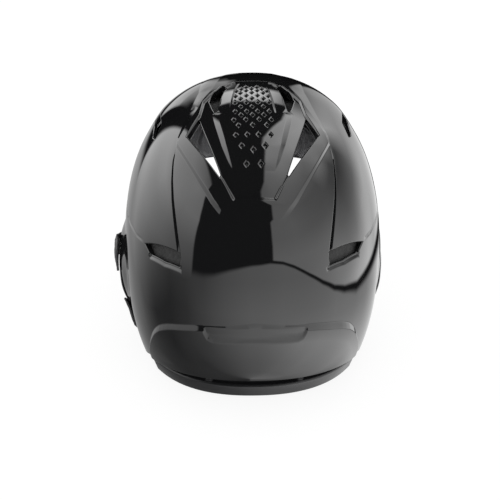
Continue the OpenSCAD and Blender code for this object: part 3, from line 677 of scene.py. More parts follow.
def plate(name, loops, fine, coarse, outer, inner, edge=1.0, steps=4):
    """Closed plate between two surfaces over the plane, with half-round edges. fine and coarse
    are the points of its two sides, each with the ties between them."""
    top, top_faces, top_at = triangulated(loops, *fine)
    low, low_faces, low_at = triangulated(loops, *coarse)
    top_p, top_n = outer(top), slope_normal(outer, top)
    low_p, low_n = inner(low), slope_normal(inner, low)
    verts, normals = [top_p, low_p], [top_n, -low_n]
    faces = [top_faces, low_faces[:, ::-1] + len(top_p)]
    count, start = len(top_p) + len(low_p), 0
    angles = np.concatenate([np.linspace(0, math.pi / 2, steps + 1)[1:],
                             np.linspace(math.pi / 2, math.pi, steps + 1)[:-1]])
    for loop in loops:
        at = np.arange(start, start + len(loop))
        start += len(loop)
        p, n, pi, ni = top_p[top_at[at]], top_n[top_at[at]], low_p[low_at[at]], low_n[low_at[at]]
        along = np.roll(p, -1, 0) - np.roll(p, 1, 0)
        side = unit(np.cross(along, n))
        r = np.minimum(edge, 0.45 * np.linalg.norm(p - pi, axis=1))[:, None]
        rings = [top_at[at]]
        for i, turn in enumerate(angles):
            centre, axis = (p - r * n, n) if i < steps else (pi + r * ni, ni)
            verts.append(centre + r * (math.cos(turn) * axis + math.sin(turn) * side))
            normals.append(math.cos(turn) * axis + math.sin(turn) * side)
            rings.append(count + np.arange(len(loop)))
            count += len(loop)
        rings.append(low_at[at] + len(top_p))
        for a, b in zip(rings[:-1], rings[1:]):
            a2, b2 = np.roll(a, -1), np.roll(b, -1)
            faces += [np.stack([a, b, a2], -1), np.stack([a2, b, b2], -1)]
    return new_piece(name, np.concatenate(verts), np.concatenate(faces), np.concatenate(normals))


def beside(line, offsets, step, closed=True):
    """Lines beside a line, to its left. An offset is a number or a function of the point."""
    p = subdivided(line, step, closed)
    ahead, behind = unit(np.roll(p, -1, 0) - p), unit(p - np.roll(p, 1, 0))
    if not closed:
        ahead[-1], behind[0] = behind[-1], ahead[0]
    tangent = unit(ahead + behind)
    mitre = 1.0 / np.maximum((tangent * ahead).sum(-1, keepdims=True), 0.4)
    side = np.stack([-tangent[:, 1], tangent[:, 0]], -1) * mitre
    made = []
    for offset in offsets:
        moved = p
        for _ in range(4 if callable(offset) else 1):
            moved = p + side * (offset(moved)[:, None] if callable(offset) else offset)
        made.append(np.concatenate([moved, moved[:1]]) if closed else moved)
    return made


def tied(lines, loops, margin):
    """Points of the lines that lie on the plate, and ties between neighbours on a line."""
    flat = np.concatenate(lines)
    ok = edge_distance(flat, loops[0]) > margin
    for hole in loops[1:]:
        ok &= edge_distance(flat, hole) < -margin
    index = np.cumsum(ok) - 1
    last = np.cumsum([len(line) for line in lines]) - 1
    both = ok[:-1] & ok[1:]
    both[last[:-1]] = False
    at = np.flatnonzero(both)
    return flat[ok], np.stack([index[at], index[at + 1]], -1)


# %% [markdown]
# ## Gloss black
# The shell is moulded in black plastic under a clear gloss. The colour is nearly nothing,
# so the work is in the gloss: a refractive index near that of the plastic, a low roughness
# that varies where hands have been, and the faint waviness that a moulding keeps.


# %% Material helper and the shell's gloss
def material(name, **sockets):
    """Principled material; returns it with its node helper and its shader node."""
    made = bpy.data.materials.new(name)
    made.use_nodes = True
    made.diffuse_color = tuple(sockets.get("Base_Color", (0.5, 0.5, 0.5))) + (1,)
    nodes = Nodes(made.node_tree)
    shader = made.node_tree.nodes.new("ShaderNodeBsdfPrincipled")
    for key, value in sockets.items():
        value = tuple(value) + (1,) if key == "Base_Color" else value
        shader.inputs[key.replace("_", " ")].default_value = value
    nodes.add("OutputMaterial", {"Surface": shader.outputs[0]})
    return made, nodes, shader


def wire(nodes, shader, **sockets):
    for key, socket in sockets.items():
        nodes.tree.links.new(socket, shader.inputs[key.replace("_", " ")])


gloss, n, shader = material("gloss_black", Base_Color=(0.0075, 0.0076, 0.008), IOR=1.58)
touch, wave = n.noise(n.place(), 26.0, 5.0, Roughness=0.6), n.noise(n.place(), 70.0, 1.0)
wire(n, shader, Roughness=n.scaled(touch, 0.35, 0.75, 0.022, 0.055), Normal=n.bump(wave, 0.012, 0.001))
print("gloss black:", len(gloss.node_tree.nodes), "nodes")

# %% [markdown]
# ## Moulded plastic, rubber, foam, steel
# None of these is a single colour. Moulded parts carry a fine grain and a roughness that
# drifts where they are handled, the liner is beads fused together, each with its own tone,
# and the screws are zinc plated, with the fine scratches of a driver.


# %% Materials of the hard parts
def grained(name, colour, rough, spread, scale, depth, **more):
    """Roughness that drifts with a slow noise, and a fine noise as the grain's height."""
    made, n, shader = material(name, Base_Color=colour, **more)
    drift, grain = n.noise(n.place(), 34.0, 4.0), n.noise(n.place(), scale, 2.0)
    wire(n, shader, Normal=n.bump(grain, depth, 0.0003),
         Roughness=n.scaled(drift, 0.3, 0.7, rough - spread, rough + spread))
    return made


rubber_lip = grained("rubber_lip", (0.013, 0.013, 0.014), 0.34, 0.08, 900.0, 0.25)
n = Nodes(rubber_lip.node_tree, clear=False)
shader = next(node for node in n.tree.nodes if node.type == "BSDF_PRINCIPLED")
handled = shader.inputs["Roughness"].links[0].from_socket
# the attribute is 1 in the groove over the lip: painted shade, the rubber made rough and nearly without
# reflection so that the deep groove looks dark
painted_groove_shade = n.add("Attribute", output=2, attribute_name="painted_groove_shade")
wire(n, shader, Roughness=n.math("MAXIMUM", handled, n.product(painted_groove_shade, 0.9)),
     Specular_IOR_Level=n.math("MULTIPLY_ADD", painted_groove_shade, -0.42, 0.45))
bezel_black = grained("bezel_black", (0.02, 0.02, 0.022), 0.30, 0.06, 1500.0, 0.2)
guard_black = grained("guard_black", (0.022, 0.022, 0.024), 0.52, 0.06, 1100.0, 0.6)
rubber_washer = grained("rubber_washer", (0.03, 0.03, 0.03), 0.7, 0.08, 1300.0, 0.5)
screw_steel = grained("screw_steel", (0.42, 0.42, 0.44), 0.34, 0.1, 2400.0, 0.3, Metallic=1.0)
nut_steel = grained("nut_steel", (0.5, 0.5, 0.5), 0.28, 0.08, 1800.0, 0.2, Metallic=1.0)

liner_foam, n, shader = material("liner_foam", Roughness=0.78)
bead, bead_colour = (n.add("TexVoronoi", {"Vector": n.place(), "Scale": 300.0}, output=i) for i in range(2))
tone = n.add("SeparateXYZ", {0: bead_colour})
wire(n, shader, Normal=n.bump(n.product(bead, -1.0), 0.7, 0.0006),
     Base_Color=n.add("CombineXYZ", {i: n.math("MULTIPLY_ADD", tone, 0.014, 0.018) for i in range(3)}))

loop_tape, n, shader = material("loop_tape", Base_Color=(0.05, 0.05, 0.05), Roughness=0.95,
                                Sheen_Weight=0.3)
wire(n, shader, Normal=n.bump(n.noise(n.place(), 1600.0, 3.0), 1.0, 0.0008))
print("hard parts: 8 materials")

# %% [markdown]
# ## Knitted cloth
# The pads wear a grey knit. Its stitches are small Vs in columns. With u across the columns
# and v along them, both in stitches, the rows follow v + |frac(u) - 1/2|, and a groove
# runs between two columns. u and v come from an attribute that every pad carries, so the
# knit follows the pad's surface.


# %% Knit material
def knit(name, colour, stitch):
    """Height sin(2 pi (v + |frac(u) - 1/2|)) between grooves at whole u; the tone follows the height:
    painted shade, darker in the low parts and the grooves, times a random fuzz.
    """
    made, n, shader = material(name, Roughness=0.88, Sheen_Weight=0.25, Sheen_Roughness=0.4)
    where = n.add("Attribute", output=1, attribute_name="cloth")
    u, v = (n.math("DIVIDE", n.add("SeparateXYZ", {0: where}, output=i), stitch * k)
            for i, k in ((0, 1.0), (1, 0.8)))
    column = n.math("ABSOLUTE", n.minus(n.math("FRACT", u), 0.5))
    row = n.math("SINE", n.product(n.math("ADD", v, column), 2 * math.pi))
    height = n.product(n.math("MULTIPLY_ADD", row, 0.5, 0.5), n.step(column, 0.5, 0.36))
    fuzz = n.noise(where, 0.35, 4.0)
    # painted shade: the low parts of each stitch and the grooves between columns are darker; the fuzz is a
    # random tone of the yarn
    shade = n.product(n.math("MULTIPLY_ADD", height, 0.5, 0.62), n.math("MULTIPLY_ADD", fuzz, 0.5, 0.75))
    wire(n, shader, Normal=n.bump(height, 0.8, 0.0003),
         Base_Color=n.add("CombineXYZ", {i: n.product(shade, colour[i]) for i in range(3)}))
    return made


pad_cloth = knit("pad_cloth", (0.20, 0.20, 0.21), 1.1)
ear_pad_cloth = knit("ear_pad_cloth", (0.16, 0.16, 0.17), 1.1)
print("knit:", len(pad_cloth.node_tree.nodes), "nodes")

# %% [markdown]
# ## The edge of the shell
# In side view the edge runs along the brow, turns down in front of the ear flap, round its
# chin corner, back along the bottom and up to the nape. The edge is drawn in that side
# view and carried back to the map by bisection: which angle of the section has this reach?


# %% Shell outline on the map
def arc(cy, cz, r, a0, a1):
    """Nine points of a circle from angle a0 to a1."""
    a = np.radians(np.linspace(a0, a1, 9))
    return np.stack([cy + r * np.cos(a), cz + r * np.sin(a)], -1)


def map_radius(z):
    """Inverse of the height curve."""
    t = np.clip((z - belt_z) / (crown_z - belt_z), 0.0, 1.0)
    return np.where(z > belt_z, belt_r * np.arccos(t ** (dome_m / 2)) * 2 / math.pi,
                    belt_r + skirt_r * (1 - z / belt_z))


def side_to_map(yz):
    """Map point of each side-view point on the wearer's left, by bisection on the angle."""
    a = bisected(lambda mid: section(mid, yz[:, 1])[:, 1] - crown_y > yz[:, 0],
                 np.zeros(len(yz)), np.full(len(yz), math.pi), 40)
    return polar(np.degrees(a), map_radius(yz[:, 1]))


brow_z, flap_y, flap_end = 101.0, -60.0, [65.0, 19.0]
side_path = np.concatenate([arc(flap_y - 20, brow_z - 20, 20, 90, 0), arc(flap_y + 16, 16, 16, 180, 270),
                            [[24, 0], [40, 5], flap_end]])
flap = side_to_map(subdivided(side_path, 2.0, closed=False))
brow_end = np.degrees(np.arctan2(flap[0, 0], flap[0, 1]))
brow = polar(np.linspace(180.0, brow_end, 60)[:-1], map_radius(np.array(brow_z)))
nape_a = np.linspace(np.degrees(np.arctan2(flap[-1, 0], flap[-1, 1])), 0.0, 60)[1:]
nape_z, nape_rise, nape_reach = np.full(len(nape_a), 22.0), 11.0, 57.0
for _ in range(12):
    reach = section(np.radians(nape_a), nape_z)[:, 1] - crown_y
    nape_z = flap_end[1] + nape_rise * (reach - flap_end[0]) / nape_reach
half_edge = np.concatenate([brow, flap, polar(nape_a, map_radius(nape_z))])
shell_edge = np.concatenate([half_edge, mirrored(half_edge)[1:-1]])
print("shell edge:", len(shell_edge), "points, nape at z", nape_z[-1].round(1))


# %% Shell
def ccw(loop):
    """The loop turned counter-clockwise."""
    x, y = loop[:, 0], loop[:, 1]
    area = (x * np.roll(y, -1) - np.roll(x, -1) * y).sum()
    return loop if area > 0 else loop[::-1]


def superellipse(a, y, z, half_l, half_h, power):
    """In side view, (y + l cos(a)^power, z + h sin(a)^power)."""
    return np.stack([y + half_l * signed_power(np.cos(a), power),
                     z + half_h * signed_power(np.sin(a), power)], -1)


def ear_ring(a, grow):
    """Outline of the ear opening, larger by grow on every side."""
    return superellipse(a, ear_y, ear_z, ear_half_l + grow, ear_half_h + grow, 0.8)


holes = [rounded(np.array(vent, float), 2.0) for vent in vents.values()]
holes.append(side_to_map(ear_ring(full_turn(48), 0.0)))
holes = [subdivided(h, 2.0) for h in holes]
shell_loops = [ccw(shell_edge)] + [ccw(h)[::-1] for left in holes for h in (left, mirrored(left))]

# lines of points along every slope, so that no triangle cuts across its corners
lines = beside(frame_outline, [-1.2, -0.5, 0, 0.5, 1.2], 1.8)
lines += beside(frame_outline, [lambda p, k=k: frame_bevel(p[:, 1]) + k for k in (-0.5, 0, 0.5, 1.3)], 1.8)
lines += beside(panel_outline, [-1.0, -0.35, 0, 0.35, 0.95, 1.3, 1.65, 2.4], 1.6)
lines += beside(spine_outline, [-1.2, -0.45, 0, 0.45, 1.1], 1.6)
lines += beside(spine_outline, [lambda p, k=k: spine_bevel(p[:, 1]) + k for k in (-0.45, 0, 0.45, 1.2)],
                1.6)
lines += beside(strip_outline, [-0.8, -0.3, 0, 0.3, 1.0, 1.3, 1.6, 2.2], 1.6)
lines += beside(tab_outline, [-1.0, -0.4, 0, 0.4, 0.8, 1.2, 1.6, 2.4], 1.6)


def crease_offset(side, k):
    """Offset from the crease's middle to a distance k past its edge on one side."""
    def offset(p):
        along = line_distance(np.abs(p) * [1, np.sign(p[:1, 1])[0]], crease_line)[1]
        return side * (crease_half(along) + k)
    return offset


crease_offsets = [0] + [crease_offset(side, k) for side in (1, -1)
                        for k in (0.8, 0.1, 0, -0.15, -0.3, -0.5, -0.9)]
flank_offsets = [-3.4, -2.0, -1.6, -1.2, -0.4, 0, 0.4, 1.2, 1.6, 2.0, 3.4]
ledge_offsets = [-3.0, -2.5, -1.9, -1.3, -0.7, 0.7, 1.3, 1.9, 2.5, 3.0]
for sign in (1, -1):
    lines += beside(crease_line * [sign, 1], crease_offsets, 1.6, closed=False)
    lines += beside(flank_line * [sign, 1], flank_offsets, 1.8, closed=False)
    lines += beside(rear_vent[3:] * [sign, 1], ledge_offsets, 1.4, closed=False)
back_angle = np.linspace(-57.5, 57.5, 180)
lines += [polar(back_angle, back_top(np.abs(back_angle)) + k * back_bevel(np.abs(back_angle)))
          for k in (-0.4, -0.16, 0, 0.16, 0.5, 0.84, 1, 1.16, 1.5)]

corners = np.array([[1, 0], [0, 1], [-1, 0], [0, -1], [1, 0]], float)
thirds = np.arange(3)[:, None] / 3
diamond = np.concatenate([lerp(a, b, thirds) for a, b in zip(corners[:-1], corners[1:])] + [corners[:1]])
for k in (1.25, 1.1, 1.0, 0.9, 0.76, 0.66, 0.6, 0.52, 0.2):
    x = dimple_x[:, None] + k * dimple_half[:, :1] * diamond[:, 0]
    y = dimples[:, 1:] + k * dimple_half[:, 1:] * diamond[:, 1]
    lines += list(np.stack([map_x(x, y), y], -1))


def hex_grid(reach, step):
    """Triangular grid of points over a square."""
    x, y = np.meshgrid(np.arange(-reach, reach, step), np.arange(-reach, reach, step * 0.866))
    return np.stack([x + step / 2 * (np.arange(len(x))[:, None] % 2), y], -1).reshape(-1, 2)


def clear_of(points, others, gap):
    """Drops the points that share a neighbourhood of cells with the others."""
    side = int(700 / gap)
    taken = np.zeros((side, side), bool)
    cell = np.clip(((others + 350) / gap).astype(int), 1, side - 2)
    for dx in (-1, 0, 1):
        for dy in (-1, 0, 1):
            taken[cell[:, 0] + dx, cell[:, 1] + dy] = True
    c = np.clip(((points + 350) / gap).astype(int), 0, side - 1)
    return points[~taken[c[:, 0], c[:, 1]]]


def within(points, loops, margin):
    """Points inside the first loop and clear of every loop by a margin."""
    keep = edge_distance(points, loops[0]) > margin
    points = points[keep]
    for hole in loops[1:]:
        points = points[edge_distance(points, hole) < -margin]
    return points


crisp, ties = tied(lines, shell_loops, 0.3)
near_rim = tied(sum([beside(loop, [0.9, 2.0], 2.0) for loop in shell_loops], []), shell_loops, 0.4)[0]
near_rim = clear_of(near_rim, crisp, 0.6)
spread = within(clear_of(hex_grid(280, 3.2), np.concatenate([crisp, near_rim]), 1.1), shell_loops, 1.0)
no_ties = np.zeros((0, 2), int)
coarse = within(hex_grid(280, 5.0), shell_loops, 1.5)
shell = plate("shell_gloss", shell_loops, (np.concatenate([crisp, near_rim, spread]), ties),
              (coarse, no_ties), shell_surface, lambda q: over(q, np.full(q.shape[:-1], -wall)))
dressed(shell, "shell", gloss)

# %% [markdown]
# ## Brim
# The short brim grows out of the shell over the brow. It is one closed profile, carried
# from one end of its arc to the other: top, a rounded nose and the underside. It droops a
# little towards the nose and dies away to both sides.


# %% Bodies carried along a run, and the brim
def carried(name, rings, closed=False):
    """Skins an array of rings (stations x profile points x 3); an open run gets end caps."""
    n, m = rings.shape[:2]
    i, k = np.meshgrid(np.arange(n if closed else n - 1), np.arange(m), indexing="ij")
    a, b = i * m + k, i * m + (k + 1) % m
    c, d = (i + 1) % n * m + k, (i + 1) % n * m + (k + 1) % m
    faces = np.stack([a, b, d, c], -1).reshape(-1, 4).tolist()
    if not closed:
        faces += [list(range(m))[::-1], [(n - 1) * m + k for k in range(m)]]
    return new_piece(name, rings.reshape(-1, 3), faces)


def outward(piece):
    """Turns the faces of a closed piece outwards: its signed volume must be positive."""
    mesh = piece.data
    mesh.calc_loop_triangles()
    a, b, c = read(mesh.vertices, "co")[read(mesh.loop_triangles, "vertices", int)].transpose(1, 0, 2)
    if (a * np.cross(b, c)).sum() < 0:
        mesh.flip_normals()
    return piece


brim_t, brim_arc = 4.4, 56.0


def brim_ring(u):
    """One section of the brim at share u of its half arc: top, nose and underside."""
    a = np.radians(180.0 - brim_arc * u)
    root = section(np.array(a), np.array(brow_z + brim_t), inset=wall / 2)
    reach = (brim_len + wall / 2) * (1 - abs(u) ** 2.4) + wall / 2 + 0.8
    way = unit(np.array([0.55 * math.sin(a), -1.0, 0.0]))
    nose = min(1.9, reach / 2) / reach

    def sag(t):
        return 3 * np.sin(np.radians(150 * t)) - 7 * t * (1 - u * u) - 3 * u * u
    t = np.linspace(0, 1 - nose, 18)
    turn = np.linspace(90, -90, 9)[1:-1]
    t_all = np.concatenate([t, 1 - nose + nose * np.cos(np.radians(turn)), t[::-1]])
    drop = np.concatenate([0 * t, brim_t / 2 * (1 - np.sin(np.radians(turn))), 0 * t + brim_t])
    return root + (t_all * reach)[:, None] * way + np.stack([0 * t_all, 0 * t_all, sag(t_all) - drop], -1)


brim = outward(carried("shell_brim", np.stack([brim_ring(u) for u in np.linspace(-1, 1, 97)])))
dressed(brim, "shell", gloss)

# %% [markdown]
# ## Lip under the nape
# A soft black lip closes the shell's edge at the back of the neck. Its neck reaches up
# behind the shell and shows as a dark groove above the lip, with two small tabs across it.
# The groove's darkness is painted shade: its faces are rough and reflect almost nothing.

# %% Lip
lip_t, lip_z, trim_top, trim_arc, tab_at = 8.0, 17.0, 33.0, 56.0, 20.0
neck = wall * 1.2 + 0.6


def lip_ring(a):
    """Profile of the lip at angle a, as inset and height, with rounded corners."""
    tab = ease((2.0 - abs(abs(a) - tab_at)) / 0.6) * 2.6
    flare = 4.5 * max(math.cos(math.radians(90.0 * a / trim_arc)), 0.0) ** 1.5
    corners = np.array([[0.9 - flare, 0], [lip_t, 0], [lip_t + 1.5, lip_z + 4], [neck + 3, trim_top],
                        [neck, trim_top], [neck - tab, lip_z + 7.5], [neck - tab, lip_z + 0.5],
                        [0.9, lip_z], [-0.4 * flare, lip_z - 1.5], [-flare, 2]])
    p = rounded(corners, 0.8, 4)
    return section(np.radians(a) + 0 * p[:, 0], p[:, 1], inset=p[:, 0])


lip_angles = np.linspace(-trim_arc, trim_arc, 225)
lip_rings = np.stack([lip_ring(a) for a in lip_angles])
trim = outward(carried("rear_lip", lip_rings))
on_tab = np.abs(np.abs(lip_angles) - tab_at) < 1.9
# the neck's faces off the tabs get the painted shade of the deep groove
in_neck = (lip_rings[..., 2] > lip_z - 0.05) & ~on_tab[:, None]
trim.data.attributes.new("painted_groove_shade", "FLOAT", "POINT").data.foreach_set("value", in_neck.ravel().astype(float))
dressed(trim, "rear_trim", rubber_lip)

# %% [markdown]
# ## Ear bezels
# A moulded ring finishes each ear opening. Its profile runs round the opening: a flange on
# the flap with a soft outer edge, and a sleeve that lines the hole.


# %% Ear bezels
def side_length(y, z):
    """Length scale of the section at height z for a point at reach y, as on the shell."""
    _, rear, front = reaches(z, dome_scale(z))
    c = 0.5 + 0.5 * signed_power(y / (front + rear) * 2, plan_n / 2)
    return lerp(front, rear, c)


def side_x(y, z):
    """Half width of the shell over the side view."""
    w = reaches(z, dome_scale(z))[0]
    u = np.minimum(np.abs(y) / side_length(y, z), 1.0)
    return bulged(w * (1 - u ** plan_n) ** (1 / plan_n), y, z)


def side_over(x_of, q, h):
    """Point at height h over a surface x(y, z); q holds y and z."""
    e = 0.1
    x = x_of(q[..., 0], q[..., 1])
    dy = (x_of(q[..., 0] + e, q[..., 1]) - x_of(q[..., 0] - e, q[..., 1])) / (2 * e)
    dz = (x_of(q[..., 0], q[..., 1] + e) - x_of(q[..., 0], q[..., 1] - e)) / (2 * e)
    normal = unit(np.stack([0 * x + 1, -dy, -dz], -1))
    return np.stack([x, q[..., 0], q[..., 1]], -1) + np.asarray(h)[..., None] * normal + [0.0, crown_y, 0.0]


bezel_w, bezel_t, gap = 4.5, 1.5, 0.3
bezel_profile = rounded(np.array([[-2.3, bezel_t], [-2.3, -wall - 2], [-gap, -wall - 2], [-gap, 0.6],
                                  [bezel_w, 0.6], [bezel_w, 0.75], [bezel_w - 1, bezel_t]]), 0.45, 4)
ring_yz = np.stack([ear_ring(a, bezel_profile[:, 0]) for a in full_turn(128)])
ring_x = side_x(ring_yz[..., 0], ring_yz[..., 1]) + bezel_profile[:, 1]
bezel_rings = np.stack([ring_x, ring_yz[..., 0] + crown_y, ring_yz[..., 1]], -1)
right_rings = bezel_rings * [-1, 1, 1]
right_rings[..., 0] += flatter(ring_yz[..., 0], ring_yz[..., 1])
for side, rings in (("left", bezel_rings), ("right", right_rings)):
    bezel = outward(carried("ear_bezel_" + side + "_ring", rings, closed=True))
    dressed(bezel, "ear_bezel_" + side, bezel_black)

# %% [markdown]
# ## Jaw guard
# The guard is a second plate, bolted on the left flap over rubber spacers. It hugs the flap
# round the ear, then runs forward past the cheek. It is drawn in side view, as Y and height,
# and lies on a surface that blends the flap's side into a wider curve in front.


# %% Guard
guard_tip, guard_gap, guard_t, guard_rear = 142.0, 1.8, 3.0, 12.0
edge_thinner, seat_d, screw_r, head_r = 1.2, 2.0, 3.0, 5.5
guard_low = np.array([[-142, 30], [-138, 18], [-128, 9], [-112, 4], [-110, 3], [-6, 3], [4, 5], [12, 13]],
                     float)
guard_top = np.array([[-142, 44], [-138, 55], [-128, 62], [-110, 64], [-84, 66], [-62, 68], [-44, 70],
                      [-28, 76], [-14, 83], [-4, 88.5], [8, 89], [12, 84]], float)
screws_at = np.array([[ear_y + 8, ear_z + ear_half_h + 11], [-45, ear_z - 2],
                      [ear_y - 2, ear_z - ear_half_h - 17]])


def guard_x(y, z):
    """Soft maximum of the flap's side and the wider curve."""
    w = reaches(z, dome_scale(z))[0]
    wide = (w - 3) * (1 - np.minimum(np.abs(y) / (guard_tip * 1.11), 1.0) ** plan_n) ** (1 / plan_n)
    a = side_x(y, z)
    return (a + wide + np.hypot(a - wide, 3.0)) / 2


def circle(centre, r, n=32):
    a = full_turn(n)
    return centre + r * np.stack([np.cos(a), np.sin(a)], -1)


def mouth(y):
    """Half height of the slot that opens the guard's ear hole to the back."""
    return 11.5 + 3.0 * (y - ear_y) / (guard_rear + 20 - ear_y)


ring = ear_ring(full_turn(96), 1.5)
kept = ring[(ring[:, 0] < ear_y) | (np.abs(ring[:, 1] - ear_z) > mouth(ring[:, 0]))]
order = np.argsort(np.arctan2(kept[:, 1] - ear_z, kept[:, 0] - ear_y) % (2 * math.pi))
gape = mouth(guard_rear)
guard_edge = np.concatenate([[[guard_rear, ear_z + gape]], kept[order], [[guard_rear, ear_z - gape]],
                             guard_low[::-1], guard_top])
guard_edge = subdivided(rounded(guard_edge, 1.2, 3), 2.0)
slots = []
for k in range(5):
    low, high, y_mid = 26 + k, 48 - 1.5 * k, -98.0 - 8 * k
    half = np.linspace(0, math.pi, 9)
    slots.append(np.concatenate([np.stack([y_mid + 2 * np.cos(half), high + 2 * np.sin(half)], -1),
                                 np.stack([y_mid - 2 * np.cos(half), low - 2 * np.sin(half)], -1)]))
guard_loops = [ccw(guard_edge)] + [ccw(h)[::-1] for h in slots + [circle(s, screw_r) for s in screws_at]]


def guard_height(q):
    """The plate's outer face: thinner towards its edges, with a seat round each screw."""
    d = edge_distance(q, guard_loops[0])
    h = guard_gap + guard_t - edge_thinner * (1 - ease(d / 5.0))
    seat = np.min([np.hypot(*(q - s).T) for s in screws_at], axis=0)
    return h - seat_d * (1 - ease((seat - head_r) / 0.6)) * (seat < 7)


q_all = within(hex_grid(200, 2.5), guard_loops, 0.8)
seats = np.concatenate([circle(s, r, 40) for s in screws_at for r in (5.3, 5.5, 5.8, 6.1, 6.4)])
edge_lines = tied(beside(guard_loops[0], [0.8, 1.8, 3.2, 5.0], 2.0), guard_loops, 0.4)[0]
guard_fine = within(np.concatenate([seats, clear_of(np.concatenate([q_all, edge_lines]), seats, 0.4)]),
                    guard_loops, 0.4)
guard = plate("jaw_guard", guard_loops, (guard_fine, no_ties), (q_all, no_ties),
              lambda q: side_over(guard_x, q, guard_height(q.reshape(-1, 2)).reshape(q.shape[:-1])),
              lambda q: side_over(guard_x, q, np.full(q.shape[:-1], guard_gap)), edge=0.8, steps=3)
dressed(guard, "face_guard", guard_black)

# %% [markdown]
# ## Fastening
# Screws, spacers, T-nuts and hook-and-loop discs keep the measured model's shapes. They only
# get their materials.

# %% Dressed nodes of the measured model
for node, dress in (("guard_screws", screw_steel), ("guard_spacers", rubber_washer),
                    ("guard_tee_nuts", nut_steel), ("loop_discs", loop_tape)):
    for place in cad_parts[node].material_slots:
        place.material = dress
print("fastening dressed")

# %% [markdown]
# ## Impact liner
# The liner is expanded foam in five blocks. A block covers a span of the map, given as
# middle and half width both ways, with angle and radius or with X and Y. Its corners are
# rounded by pulling each side in towards its ends.

# %% Liner blocks
liner_lo, liner_t = wall + 0.9, 11.0


def span_outline(s, t, polar_span, k, n=15):
    """Edge of the square u, v = -1..1, with u' = u sqrt(1 - k v^2 / 2) and v' = v sqrt(1 - k u^2 / 2)."""
    w = np.linspace(-1, 1, 2 * n, endpoint=False)
    u = np.concatenate([w, 0 * w + 1, -w, 0 * w - 1])
    v = np.concatenate([0 * w - 1, w, 0 * w + 1, -w])
    a = s[0] + s[1] * u * np.sqrt(1 - k * v * v / 2)
    b = t[0] + t[1] * v * np.sqrt(1 - k * u * u / 2)
    return polar(a, b) if polar_span else np.stack([a, b], -1)


def lining(name, outline, lo, hi, edge, step=5.0):
    """Plate under the skin, from depth lo to depth hi, with rounded edges."""
    loops = [ccw(subdivided(outline, 3.0))]
    points = within(hex_grid(260, step), loops, 1.2)
    return plate(name, loops, (points, no_ties), (points, no_ties), lambda q: under(q, lo),
                 lambda q: under(q, hi), edge=edge)


def right_hand(piece, name):
    """Mirror image of a finished piece, for the wearer's right."""
    mesh = piece.data.copy()
    mesh.vertices.foreach_set("co", (read(mesh.vertices, "co") * [-1, 1, 1]).ravel())
    mesh.flip_normals()
    mesh.name = name
    return placed(name, mesh)


def dressed_pair(piece, node, made):
    """Dresses a piece, and a mirror image of it too if its node is a left one."""
    dressed(piece, node, made)
    if node.endswith("left"):
        right_name, right_node = (name.replace("left", "right") for name in (piece.name, node))
        dressed(right_hand(piece, right_name), right_node, made)


foam_spans = {"liner_crown": ([0, 17], [-4, 66], False, 0.7),
              "liner_front": ([180, 52], [134, 38], True, 0.3),
              "liner_rear": ([0, 57], [183, 53], True, 0.3),
              "liner_left": ([96, 27], [120, 50], True, 0.4)}
for node, span in foam_spans.items():
    block = lining(node.replace("liner", "foam"), span_outline(*span), liner_lo, liner_lo + liner_t, 3.5)
    dressed_pair(block, node, liner_foam)

# %% [markdown]
# ## Comfort pads
# The pads are cushions: foam in a knitted sleeve, flat where they lie on the liner and
# crowned towards the head. Each starts as a closed body on a grid, a little smaller than the
# room the measured model gives it: the crown on one side, the floor on the other, and a rim
# between them. The grid is even, so it needs no remeshing before the cloth simulation.


# %% Bodies of the pads
pad_lo, pad_hi, cell = 17.525, 26.525, 4.5
below_room, side_room, crown_room = 0.6, 4.6, 2.4


def cushion_grid(s, t, polar_span, n, m):
    """Square u, v = -1..1 with rounded corners, u' = u sqrt(1 - 0.35 v^2), v' alike, and its map points."""
    u, v = np.meshgrid(np.linspace(-1, 1, n + 1), np.linspace(-1, 1, m + 1), indexing="ij")
    a = s[0] + s[1] * u * np.sqrt(1 - 0.35 * v * v)
    b = t[0] + t[1] * v * np.sqrt(1 - 0.35 * u * u)
    return u, v, polar(a, b) if polar_span else np.stack([a, b], -1)


def border(n, m):
    """Indices of the edge points of an (n + 1) x (m + 1) grid, once round."""
    i, j = np.arange(n), np.arange(m)
    return np.concatenate([i * (m + 1), n * (m + 1) + j, (n - i) * (m + 1) + m, m - j])


def run_length(line):
    return np.concatenate([[0.0], np.linalg.norm(np.diff(line, axis=0), axis=-1).cumsum()])


def wear(piece, coords):
    """Keeps the cloth's own coordinates, in millimetres, as a point attribute for the knit."""
    store = piece.data.attributes.new("cloth", "FLOAT_VECTOR", "POINT")
    store.data.foreach_set("vector", np.ascontiguousarray(coords, np.float32).ravel())


